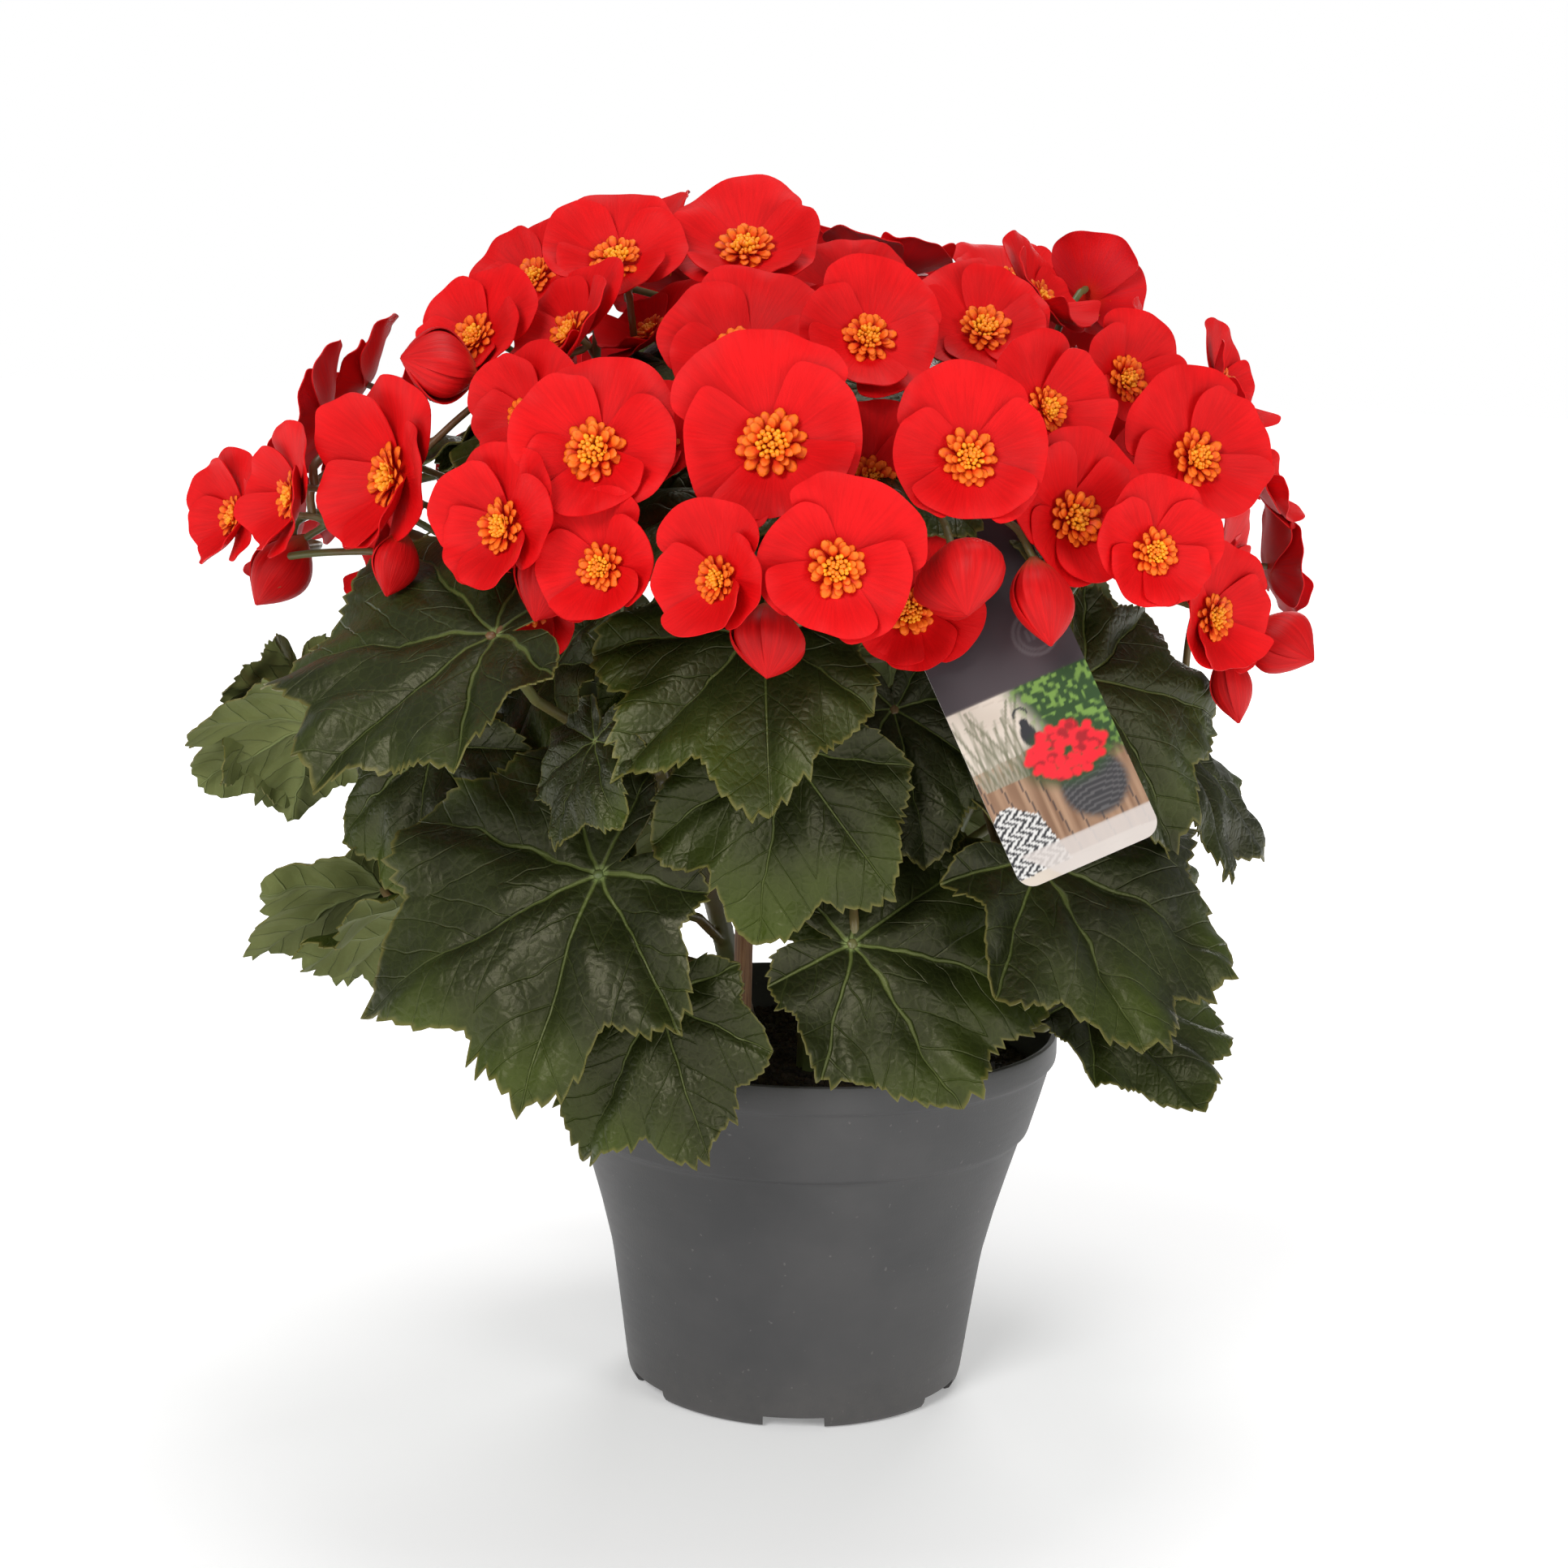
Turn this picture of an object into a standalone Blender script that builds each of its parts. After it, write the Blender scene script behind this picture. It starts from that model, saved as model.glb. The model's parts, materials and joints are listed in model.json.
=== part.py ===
"""Potted winter-flowering begonia in a 17 cm grower's pot.

Units are metres and +Z is up. The origin is the centre of the face that the pot stands on.
+X is the plant's right as it is seen from the front, and -Y is its front.
"""

import math

import bmesh
import bpy
from mathutils import Matrix, Vector

MM = 0.001
GAP = 0.4 * MM
MERGE = 0.01 * MM
ROD_SIDES = 12
SMOOTH_ANGLE = 40
SHEET_SMOOTH_ANGLE = 60

# Pot: a turned plastic shell with a lip, a collar under it and a waisted wall
POT_HEIGHT = 122 * MM
RIM_RADIUS = 85 * MM
LIP_DEPTH = 9 * MM
COLLAR_TOP_RADIUS = 83.6 * MM
COLLAR_FOOT = 89 * MM
COLLAR_FOOT_RADIUS = 77 * MM
WALL_TOP_RADIUS = 75 * MM
WAIST_HEIGHT = 44 * MM
WAIST_RADIUS = 62.6 * MM
HEEL_HEIGHT = 3 * MM
HEEL_RADIUS = 56.5 * MM
BASE_RADIUS = 54.5 * MM
WALL = 1.6 * MM
FLOOR = 6 * MM
LIP_ROUND_IN = 0.6 * MM
LIP_ROUND_DOWN = 1 * MM
COLLAR_STEP_TOP = COLLAR_FOOT + 1 * MM
WALL_TOP = COLLAR_FOOT - 1.5 * MM
POT_SEGMENTS = 56
TURN_MERGE = 0.05 * MM

# Feet: shallow channels under the base carry water from the drain holes to the edge
CHANNELS = 6
CHANNEL_WIDTH = 20 * MM
CHANNEL_HEIGHT = 4 * MM
CHANNEL_START = 18 * MM
DRAIN_RADIUS = 4 * MM
DRAIN_RING = 38 * MM

# Growing mix
MIX_EDGE = 107 * MM
MIX_CROWN = 111 * MM
MIX_SHOULDER = 110 * MM
MIX_SHOULDER_SHARE = 0.55
MIX_CLEARANCE = 1 * MM
MIX_SEGMENTS = 40

# Support canes
CANE_RADIUS = 3.4 * MM
CANE_FOOT = 60 * MM
CANES = {"support_cane_left": ((-47, -36), 196), "support_cane_right": ((-20, -44), 226)}

# Hang label
LABEL_WIDTH = 43 * MM
LABEL_LENGTH = 124 * MM
LABEL_THICKNESS = 0.8 * MM
LABEL_CORNER = 5 * MM
LABEL_CORNER_STEPS = 3
LABEL_HOLE = 5 * MM
LABEL_HOLE_INSET = 9 * MM
LABEL_FOOT = (79, -139, 205)
LABEL_FACING = (0, 17)
LABEL_TURN = 25

# Leaf blades: a seven-lobed outline about the leaf base, with sizes as shares of the leaf's length
LEAF_THICKNESS = 0.9 * MM
LEAF_BODY = 0.70
LEAF_TIP_REACH = 0.30
LOBE_STEP = math.radians(47)
LOBES_EACH_SIDE = 3
LOBE_DEPTH = 0.07
NOTCH_DEPTH = 0.75
NOTCH_WIDTH = math.radians(13)
NOTCH_SIDE = math.radians(162)
LEAF_DROOP = 0.16
LEAF_ROLL = 0.22

# Flowers: four broad petals in one shallow cup
PETAL_THICKNESS = 1.0 * MM
PETALS = 4
PETAL_DIP = 0.06
FLOWER_POINTS = 12
RING_SHARES = (0.5, 1)

# Buds: drops with a pointed end
BUD_FLATNESS = 0.8
BUD_JOINT = 0.3

# Stems and stalks
STEM_RADIUS = 4.6 * MM
STEM_TOP_RADIUS = 3.4 * MM
TRUSS_RADIUS = 2.4 * MM
PETIOLE_RADIUS = 1.9 * MM
PEDICEL_RADIUS = 1.4 * MM
STEM_FOOT = 92 * MM
NECK_RISE = 2 * MM
STALK_LEAD = 5 * MM
STALK_STEPS = 4
PETIOLE_RISE = 0.5
PEDICEL_RISE = 0.3
TRUSS_ARCH = 3 * MM
TRUSS_TOP_RADIUS = 0.9 * TRUSS_RADIUS

# Each stem's foot and the points it grows through, in millimetres
STEMS = {
    "left": ((-16, -6), (-20, -9, 125), (-30, -18, 165), (-46, -27, 205), (-60, -30, 240)),
    "front": ((2, -18), (2, -22, 125), (1, -34, 165), (-2, -46, 205), (-4, -54, 240)),
    "right": ((18, -2), (22, -5, 125), (36, -14, 165), (52, -24, 205), (62, -28, 240)),
    "back": ((2, 18), (3, 22, 125), (5, 36, 165), (6, 50, 205), (6, 58, 240)),
}

# Each flower truss: the stem it tops and the point where its flower stalks part, in millimetres
TRUSSES = {
    "far_left": ("left", (-104, -32, 274)),
    "left": ("left", (-66, -68, 284)),
    "left_top": ("left", (-56, -18, 310)),
    "front": ("front", (-14, -84, 292)),
    "top": ("front", (-4, -34, 312)),
    "right_front": ("right", (27, -117, 311)),
    "right": ("right", (88, -44, 286)),
    "right_top": ("right", (64, -10, 308)),
    "back_left": ("back", (-44, 62, 285)),
    "back_right": ("back", (44, 64, 288)),
}

# Leaves: stem, height of the joint on it, place of the leaf base in millimetres,
# (azimuth, elevation) that the upper face looks to, turn of the tip from straight down, length
LEAVES = (
    ("left", 198, (-94, -116, 263), (-24, 52), -82, 70),
    ("front", 215, (-15, -112, 264), (-8, 48), -40, 54),
    ("front", 190, (-8, -111, 230), (-4, 20), -8, 50),
    ("left", 150, (-63, -103, 191), (-14, 34), -58, 70),
    ("left", 122, (-44, -106, 154), (-14, 22), -24, 49),
    ("front", 135, (13, -112, 174), (10, 34), 78, 62),
    ("right", 206, (67, -95, 197), (26, 46), 62, 66),
    ("right", 122, (88, -56, 147), (22, 56), 78, 50),
    ("right", 205, (82, -82, 250), (32, 26), 30, 54),
    ("right", 180, (122, -12, 220), (62, 36), 34, 46),
    ("right", 160, (112, 6, 189), (66, 34), 20, 42),
    ("left", 215, (-168, -10, 233), (-130, 20), 0, 40),
    ("left", 185, (-119, -50, 219), (-32, 22), 2, 46),
    ("left", 140, (-112, -18, 164), (-150, 58), 60, 52),
    ("left", 206, (-64, -114, 232), (-50, 28), -6, 30),
    ("front", 205, (24, -88, 240), (10, 28), 10, 42),
    ("left", 210, (-44, -64, 255), (-12, 32), 6, 31),
    ("right", 205, (42, -60, 242), (10, 24), 8, 28),
    ("back", 210, (-92, 74, 256), (-130, 40), 10, 62),
    ("back", 215, (-12, 106, 262), (-174, 40), -12, 62),
    ("right", 215, (84, 76, 256), (134, 40), 14, 62),
    ("back", 150, (-78, 82, 192), (-136, 30), -16, 66),
    ("back", 145, (14, 104, 186), (172, 34), 14, 66),
    ("back", 165, (84, 74, 202), (136, 30), -12, 60),
)

# Flowers: truss, centre in millimetres, (azimuth, elevation) that they look to, radius, cup
FLOWERS = (
    ("front", (-14, -138, 323), (-3, 12), 25, 0.22),
    ("left", (-63, -128, 319), (-14, 14), 23, 0.22),
    ("right_front", (40, -136, 320), (3, 12), 21, 0.22),
    ("front", (4, -160, 291), (2, 2), 21, 0.24),
    ("left", (-88, -128, 297), (-38, 8), 20, 0.30),
    ("front", (-27, -156, 286), (-36, 5), 17, 0.34),
    ("right", (71, -114, 303), (28, 8), 22, 0.26),
    ("right", (94, -120, 294), (15, 5), 18, 0.26),
    ("right", (110, -78, 319), (22, 15), 22, 0.26),
    ("right_top", (90, -62, 341), (34, 10), 18, 0.30),
    ("right", (114, -102, 274), (38, 5), 18, 0.30),
    ("top", (-24, -42, 376), (-5, 42), 23, 0.24),
    ("left_top", (-63, -48, 372), (-10, 35), 21, 0.24),
    ("left_top", (-90, -14, 366), (-30, 35), 20, 0.26),
    ("left_top", (-103, -62, 348), (-35, 25), 19, 0.26),
    ("right_top", (47, -60, 354), (12, 35), 21, 0.24),
    ("top", (9, -20, 363), (5, 35), 18, 0.34),
    ("far_left", (-184, -22, 290), (-52, 8), 18, 0.34),
    ("far_left", (-160, -54, 299), (-60, 5), 19, 0.34),
    ("far_left", (-126, -78, 308), (-50, 5), 25, 0.34),
    ("front", (-24, -90, 345), (-5, 25), 24, 0.22),
    ("right_top", (85, 0, 366), (150, 15), 17, 0.34),
    ("right_top", (130, 14, 338), (62, 18), 18, 0.34),
    ("right_top", (60, 26, 368), (20, 56), 19, 0.26),
    ("back_left", (-70, 104, 328), (-145, 25), 24, 0.24),
    ("back_right", (8, 128, 322), (175, 18), 24, 0.24),
    ("back_right", (82, 88, 332), (140, 25), 22, 0.26),
)

# Closed and half-open buds, which stay on their stalks: truss, centre in millimetres,
# (azimuth, elevation) that they point to, length and width in millimetres
BUDS = (
    ("left_top", (-112, -84, 337), (-60, 10), 20, 15),
    ("far_left", (-124, -92, 280), (-40, -70), 16, 9),
    ("left", (-76, -124, 280), (-30, -60), 22, 14),
    ("far_left", (-172, -14, 270), (-80, -55), 22, 13),
    ("front", (-14, -144, 266), (0, -60), 18, 15),
    ("right_front", (38, -144, 284), (10, -40), 22, 17),
    ("right_front", (62, -134, 278), (20, -60), 22, 13),
    ("right", (142, -62, 260), (60, -25), 18, 14),
    ("right", (128, -60, 246), (60, -75), 18, 9),
    ("back_left", (-112, 78, 302), (-125, 0), 20, 13),
    ("back_right", (52, 132, 292), (160, -20), 20, 13),
)

COLOURS = {
    "pot_plastic": ((0.067, 0.063, 0.061, 1), 0.5),
    "peat": ((0.012, 0.008, 0.006, 1), 0.95),
    "cane": ((0.45, 0.16, 0.045, 1), 0.6),
    "card": ((0.07, 0.05, 0.055, 1), 0.4),
    "stalk": ((0.17, 0.13, 0.05, 1), 0.45),
    "leaf": ((0.035, 0.06, 0.02, 1), 0.42),
    "petal": ((0.75, 0.009, 0.012, 1), 0.5),
}


def clear_scene():
    for obj in list(bpy.data.objects):
        bpy.data.objects.remove(obj, do_unlink=True)


def make_collection(name):
    collection = bpy.data.collections.new(name)
    bpy.context.scene.collection.children.link(collection)
    return collection


def make_material(name):
    colour, roughness = COLOURS[name]
    material = bpy.data.materials.new(name)
    material.use_nodes = True
    shader = material.node_tree.nodes["Principled BSDF"]
    shader.inputs["Base Color"].default_value = colour
    shader.inputs["Roughness"].default_value = roughness
    shader.inputs["Metallic"].default_value = 0
    material.diffuse_color = colour
    return material


def in_metres(point):
    return Vector(point) * MM


def add_object(name, mesh, collection, material=None):
    obj = bpy.data.objects.new(name, mesh)
    collection.objects.link(obj)
    if material:
        mesh.materials.append(material)
    return obj


def hide_helper(obj):
    obj.hide_render = True
    obj.display_type = "WIRE"
    return obj


def smooth(obj, angle=SMOOTH_ANGLE):
    obj.data.shade_smooth()
    obj.data.set_sharp_from_angle(angle=math.radians(angle))


def facing_matrix(place, facing, turn=0):
    """Local +Z looks to facing, and local +Y is the tip: straight down, turned by turn degrees."""
    azimuth, elevation = (math.radians(angle) for angle in facing)
    level = math.cos(elevation)
    normal = Vector((math.sin(azimuth) * level, -math.cos(azimuth) * level, math.sin(elevation)))
    down = (-Vector((0, 0, 1)) + normal * normal.z).normalized()
    right = normal.cross(down)
    tip = down * math.cos(math.radians(turn)) + right * math.sin(math.radians(turn))
    axes = Matrix((tip.cross(normal), tip, normal)).transposed()
    return Matrix.Translation(in_metres(place)) @ axes.to_4x4()


def add_turned(name, profile, segments, collection, material):
    """Turns (radius, height) points, which run down the outside, about Z."""
    mesh = bpy.data.meshes.new(name)
    points = [(radius, 0, height) for radius, height in profile]
    edges = [(i, i + 1) for i in range(len(points) - 1)]
    mesh.from_pydata(points, edges, [])
    obj = add_object(name, mesh, collection, material)
    screw = obj.modifiers.new("turn", "SCREW")
    screw.steps = segments
    screw.render_steps = segments
    screw.use_merge_vertices = True
    screw.merge_threshold = TURN_MERGE
    return obj


def pot_profile():
    outside = [
        (RIM_RADIUS - 2 * WALL, POT_HEIGHT),
        (RIM_RADIUS - LIP_ROUND_IN, POT_HEIGHT),
        (RIM_RADIUS, POT_HEIGHT - LIP_ROUND_DOWN),
        (RIM_RADIUS, POT_HEIGHT - LIP_DEPTH),
        (COLLAR_TOP_RADIUS, POT_HEIGHT - LIP_DEPTH - LIP_ROUND_IN),
        (COLLAR_FOOT_RADIUS, COLLAR_STEP_TOP),
        (WALL_TOP_RADIUS, WALL_TOP),
        (WAIST_RADIUS, WAIST_HEIGHT),
        (HEEL_RADIUS, HEEL_HEIGHT),
        (BASE_RADIUS, 0),
        (0, 0),
    ]
    inside = [
        (0, FLOOR),
        (HEEL_RADIUS - WALL, FLOOR),
        (WAIST_RADIUS - WALL, WAIST_HEIGHT),
        (WALL_TOP_RADIUS - WALL, WALL_TOP),
        (COLLAR_FOOT_RADIUS - WALL, COLLAR_STEP_TOP),
        (RIM_RADIUS - 2 * WALL, POT_HEIGHT),
    ]
    return outside + inside


def add_channel_cutter(index, cutters):
    """A radial channel that runs from near the middle of the base out through its edge."""
    reach = RIM_RADIUS - CHANNEL_START
    mesh = bpy.data.meshes.new(f"channel_{index}")
    shape = bmesh.new()
    bmesh.ops.create_cube(shape, size=1)
    bmesh.ops.scale(shape, vec=(CHANNEL_WIDTH, reach, 2 * CHANNEL_HEIGHT), verts=shape.verts)
    bmesh.ops.translate(shape, vec=(0, -CHANNEL_START - reach / 2, 0), verts=shape.verts)
    shape.to_mesh(mesh)
    shape.free()
    cutter = add_object(mesh.name, mesh, cutters)
    cutter.rotation_euler.z = 2 * math.pi * index / CHANNELS
    return cutter


def add_rod(name, radius, foot, top, place, collection, material=None):
    """An upright cylinder from height foot to height top."""
    mesh = bpy.data.meshes.new(name)
    shape = bmesh.new()
    bmesh.ops.create_cone(
        shape, cap_ends=True, segments=ROD_SIDES, radius1=radius, radius2=radius, depth=top - foot
    )
    shape.to_mesh(mesh)
    shape.free()
    obj = add_object(name, mesh, collection, material)
    obj.location = (place[0], place[1], (foot + top) / 2)
    return obj


def cut(obj, cutter):
    hide_helper(cutter)
    boolean = obj.modifiers.new(cutter.name, "BOOLEAN")
    boolean.operation = "DIFFERENCE"
    boolean.object = cutter


def build_pot(parts, cutters, materials):
    pot = add_turned("pot", pot_profile(), POT_SEGMENTS, parts, materials["pot_plastic"])
    for index in range(CHANNELS):
        cut(pot, add_channel_cutter(index, cutters))
        angle = 2 * math.pi * index / CHANNELS
        place = (math.sin(angle) * DRAIN_RING, -math.cos(angle) * DRAIN_RING)
        cut(pot, add_rod(f"drain_{index}", DRAIN_RADIUS, 0, POT_HEIGHT / 2, place, cutters))
    smooth(pot)


def inner_radius(height):
    """Radius of the pot's inner wall at a height."""
    if height < WAIST_HEIGHT:
        low, high = (FLOOR, HEEL_RADIUS), (WAIST_HEIGHT, WAIST_RADIUS)
    elif height < COLLAR_FOOT:
        low, high = (WAIST_HEIGHT, WAIST_RADIUS), (WALL_TOP, WALL_TOP_RADIUS)
    else:
        low, high = (COLLAR_STEP_TOP, COLLAR_FOOT_RADIUS), (POT_HEIGHT, RIM_RADIUS - WALL)
    share = (height - low[0]) / (high[0] - low[0])
    return low[1] + share * (high[1] - low[1]) - WALL


def cut_socket(mix, name, radius, foot, place, cutters):
    """A hole in the growing mix for what stands in it, a gap wider and deeper than that."""
    cut(mix, add_rod(f"{name}_socket", radius + GAP, foot - GAP, POT_HEIGHT, in_metres(place), cutters))


def build_growing_mix(parts, cutters, materials):
    bottom = FLOOR + MIX_CLEARANCE
    bends = (MIX_EDGE, COLLAR_STEP_TOP, WALL_TOP, WAIST_HEIGHT, bottom)
    side = [(inner_radius(height) - MIX_CLEARANCE, height) for height in bends]
    shoulder = (MIX_SHOULDER_SHARE * side[0][0], MIX_SHOULDER)
    profile = [(0, MIX_CROWN), shoulder, *side, (0, bottom)]
    mix = add_turned("growing_mix", profile, MIX_SEGMENTS, parts, materials["peat"])
    for name, (place, _) in CANES.items():
        cut_socket(mix, name, CANE_RADIUS, CANE_FOOT, (*place, 0), cutters)
    for name, points in STEMS.items():
        cut_socket(mix, name, STEM_RADIUS, STEM_FOOT, (*points[0], 0), cutters)
    smooth(mix)


def build_canes(parts, materials):
    for name, (place, top) in CANES.items():
        middle = in_metres((*place, 0))
        smooth(add_rod(name, CANE_RADIUS, CANE_FOOT, top * MM, middle, parts, materials["cane"]))


def circle_points(centre, radius, start, sweep, steps):
    """Points along an arc about centre, from the angle start through sweep, both in degrees."""
    angles = [math.radians(start + sweep * step / steps) for step in range(steps)]
    return [(centre[0] + radius * math.cos(a), centre[1] + radius * math.sin(a)) for a in angles]


def rounded_corner(centre, start):
    """Points of a quarter circle about centre, both its ends included."""
    step = 90 / LABEL_CORNER_STEPS
    return circle_points(centre, LABEL_CORNER, start, 90 + step, LABEL_CORNER_STEPS + 1)


def label_outline():
    """The card, hanging from the origin at its foot up to -Y."""
    half = LABEL_WIDTH / 2 - LABEL_CORNER
    far = -LABEL_LENGTH + LABEL_CORNER
    near = -LABEL_CORNER
    return [
        *rounded_corner((half, near), 0),
        *rounded_corner((-half, near), 90),
        *rounded_corner((-half, far), 180),
        *rounded_corner((half, far), 270),
    ]


def add_closed_spline(curve, points):
    spline = curve.splines.new("POLY")
    spline.points.add(len(points) - 1)
    for point, (x, y) in zip(spline.points, points):
        point.co = (x, y, 0, 1)
    spline.use_cyclic_u = True


def build_label(parts, materials):
    curve = bpy.data.curves.new("hang_label", "CURVE")
    curve.dimensions = "2D"
    curve.fill_mode = "BOTH"
    curve.extrude = LABEL_THICKNESS / 2
    add_closed_spline(curve, label_outline())
    hole = (0, -LABEL_LENGTH + LABEL_HOLE_INSET)
    add_closed_spline(curve, circle_points(hole, LABEL_HOLE, 0, 360, ROD_SIDES))
    curve.materials.append(materials["card"])
    label = bpy.data.objects.new("hang_label", curve)
    label.matrix_world = facing_matrix(LABEL_FOOT, LABEL_FACING, LABEL_TURN)
    parts.objects.link(label)


def leaf_radius(angle):
    """Outline of a leaf about its base, as a share of its length: seven lobes and a notch at the base."""
    body = LEAF_BODY + LEAF_TIP_REACH * math.cos(angle)
    lobes = 1 + LOBE_DEPTH * math.cos(2 * math.pi * angle / LOBE_STEP)
    notch = 1 - NOTCH_DEPTH * math.exp(-(((math.pi - abs(angle)) / NOTCH_WIDTH) ** 2))
    return body * lobes * notch


def leaf_angles():
    """A point on each lobe and in each dip between two, and three round the notch."""
    side = [LOBE_STEP / 2 * step for step in range(1, 2 * LOBES_EACH_SIDE + 1)] + [NOTCH_SIDE]
    return [0, *side, math.pi, *[-angle for angle in reversed(side)]]


def leaf_height(x, y, length):
    """The blade domes over its base and bends down along the midrib and at the sides."""
    return -(LEAF_DROOP * y * abs(y) + LEAF_ROLL * x * x) / length


def disc_mesh(name, angles, shares, radius_at, height_at):
    """A round open surface: a fan at the middle and a ring of faces for each further share of the radius."""
    shape = bmesh.new()
    centre = shape.verts.new((0, 0, height_at(0, 0)))
    rings = []
    for share in shares:
        ring = []
        for angle in angles:
            reach = share * radius_at(angle)
            x, y = reach * math.sin(angle), reach * math.cos(angle)
            ring.append(shape.verts.new((x, y, height_at(x, y))))
        rings.append(ring)
    count = len(angles)
    for i in range(count):
        after = (i + 1) % count
        shape.faces.new((centre, rings[0][after], rings[0][i]))
        for inner, outer in zip(rings, rings[1:]):
            shape.faces.new((inner[i], inner[after], outer[after], outer[i]))
    bmesh.ops.recalc_face_normals(shape, faces=shape.faces)
    if sum(face.normal.z for face in shape.faces) < 0:
        bmesh.ops.reverse_faces(shape, faces=shape.faces)
    mesh = bpy.data.meshes.new(name)
    shape.to_mesh(mesh)
    shape.free()
    return mesh


def thicken(obj, thickness):
    solidify = obj.modifiers.new("thickness", "SOLIDIFY")
    solidify.thickness = thickness
    solidify.offset = 0


def build_leaves(parts, materials):
    for number, (_, _, place, facing, turn, length) in enumerate(LEAVES, start=1):
        size = length * MM
        mesh = disc_mesh(
            f"leaf_{number:02d}",
            leaf_angles(),
            RING_SHARES,
            lambda angle: size * leaf_radius(angle),
            lambda x, y: leaf_height(x, y, size),
        )
        leaf = add_object(mesh.name, mesh, parts, materials["leaf"])
        leaf.matrix_world = facing_matrix(place, facing, turn)
        thicken(leaf, LEAF_THICKNESS)
        smooth(leaf, SHEET_SMOOTH_ANGLE)


def flower_radius(angle):
    """Outline of a flower as a share of its radius: four broad petals."""
    return 1 - PETAL_DIP * (1 - math.cos(PETALS * angle))


def build_flowers(parts, materials):
    for number, (_, place, facing, radius, cup) in enumerate(FLOWERS, start=1):
        size = radius * MM
        mesh = disc_mesh(
            f"flower_{number:02d}",
            [2 * math.pi * step / FLOWER_POINTS for step in range(FLOWER_POINTS)],
            RING_SHARES,
            lambda angle: size * flower_radius(angle),
            lambda x, y: cup * (x * x + y * y) / size,
        )
        flower = add_object(mesh.name, mesh, parts, materials["petal"])
        flower.matrix_world = facing_matrix(place, facing)
        thicken(flower, PETAL_THICKNESS)
        smooth(flower, SHEET_SMOOTH_ANGLE)


def tube_mesh(name, points, radii):
    """A closed tube along the points, as a mesh."""
    curve = bpy.data.curves.new(name, "CURVE")
    curve.dimensions = "3D"
    curve.bevel_depth = 1
    curve.bevel_resolution = 1
    curve.use_fill_caps = True
    spline = curve.splines.new("POLY")
    spline.points.add(len(points) - 1)
    for target, point, radius in zip(spline.points, points, radii):
        target.co = (*point, 1)
        target.radius = radius
    guide = bpy.data.objects.new(name, curve)
    bpy.context.scene.collection.objects.link(guide)
    bpy.context.view_layer.update()
    mesh = bpy.data.meshes.new_from_object(guide.evaluated_get(bpy.context.evaluated_depsgraph_get()))
    bpy.data.objects.remove(guide)
    shape = bmesh.new()
    shape.from_mesh(mesh)
    bmesh.ops.remove_doubles(shape, verts=shape.verts, dist=MERGE)
    bmesh.ops.recalc_face_normals(shape, faces=shape.faces)
    shape.to_mesh(mesh)
    shape.free()
    return mesh


def blend(start, first, second, end, share):
    """Point at share along a cubic curve with these four control points."""
    rest = 1 - share
    return (
        start * rest**3
        + first * 3 * rest**2 * share
        + second * 3 * rest * share**2
        + end * share**3
    )


def stalk_points(start, end, direction, rise):
    """A stalk that leaves start upwards and reaches end along direction."""
    lead = end - direction * STALK_LEAD
    reach = (lead - start).length / 3
    outward = (lead - start).normalized()
    first = start + (outward + Vector((0, 0, rise))).normalized() * reach
    second = lead - direction * reach
    curve = [blend(start, first, second, lead, step / STALK_STEPS) for step in range(STALK_STEPS + 1)]
    return [*curve, end]


def stem_points(name):
    foot, *route = STEMS[name]
    base = Vector((foot[0] * MM, foot[1] * MM, STEM_FOOT))
    neck = Vector((foot[0] * MM, foot[1] * MM, MIX_CROWN + NECK_RISE))
    return [base, neck, *[in_metres(point) for point in route]]


def point_on_stem(name, height):
    """Where the stem's centre line passes a height in millimetres."""
    points = stem_points(name)
    level = height * MM
    for low, high in zip(points, points[1:]):
        if low.z <= level <= high.z:
            return low.lerp(high, (level - low.z) / (high.z - low.z))
    return points[-1]


def tapered(first, last, count):
    return [first + (last - first) * step / (count - 1) for step in range(count)]


def back_of(place, facing, thickness):
    """(point just behind the blade or flower, the direction it looks to)"""
    matrix = facing_matrix(place, facing)
    normal = matrix.col[2].to_3d()
    return matrix.translation - normal * (thickness / 2 + GAP), normal


def petiole_shapes(stem):
    """(name, points, radii) of the stalk of each leaf on the stem."""
    found = []
    for number, (owner, height, place, facing, _, _) in enumerate(LEAVES, start=1):
        if owner != stem:
            continue
        end, direction = back_of(place, facing, LEAF_THICKNESS)
        points = stalk_points(point_on_stem(stem, height), end, direction, PETIOLE_RISE)
        found.append((f"petiole_{number:02d}", points, [PETIOLE_RADIUS] * len(points)))
    return found


def truss_shapes(stem):
    """(name, points, radii) of each truss on the stem and of its flowers' stalks."""
    found = []
    for truss, (owner, fork) in TRUSSES.items():
        if owner != stem:
            continue
        top = stem_points(stem)[-1]
        parting = in_metres(fork)
        up = (parting - top).normalized()
        points = [top - up * MM, (top + parting) / 2 + Vector((0, 0, TRUSS_ARCH)), parting]
        found.append((f"truss_{truss}", points, tapered(TRUSS_RADIUS, TRUSS_TOP_RADIUS, len(points))))
        for number, (holder, place, facing, _, _) in enumerate(FLOWERS, start=1):
            if holder != truss:
                continue
            end, direction = back_of(place, facing, PETAL_THICKNESS)
            points = stalk_points(parting, end, direction, PEDICEL_RISE)
            found.append((f"pedicel_{number:02d}", points, [PEDICEL_RADIUS] * len(points)))
        for number, (holder, place, facing, length, _) in enumerate(BUDS, start=1):
            if holder != truss:
                continue
            matrix = facing_matrix(place, facing)
            direction = matrix.col[2].to_3d()
            end = matrix.translation - direction * length * MM * BUD_JOINT
            points = stalk_points(parting, end, direction, PEDICEL_RISE)
            found.append((f"bud_stalk_{number:02d}", points, [PEDICEL_RADIUS] * len(points)))
    return found


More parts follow.
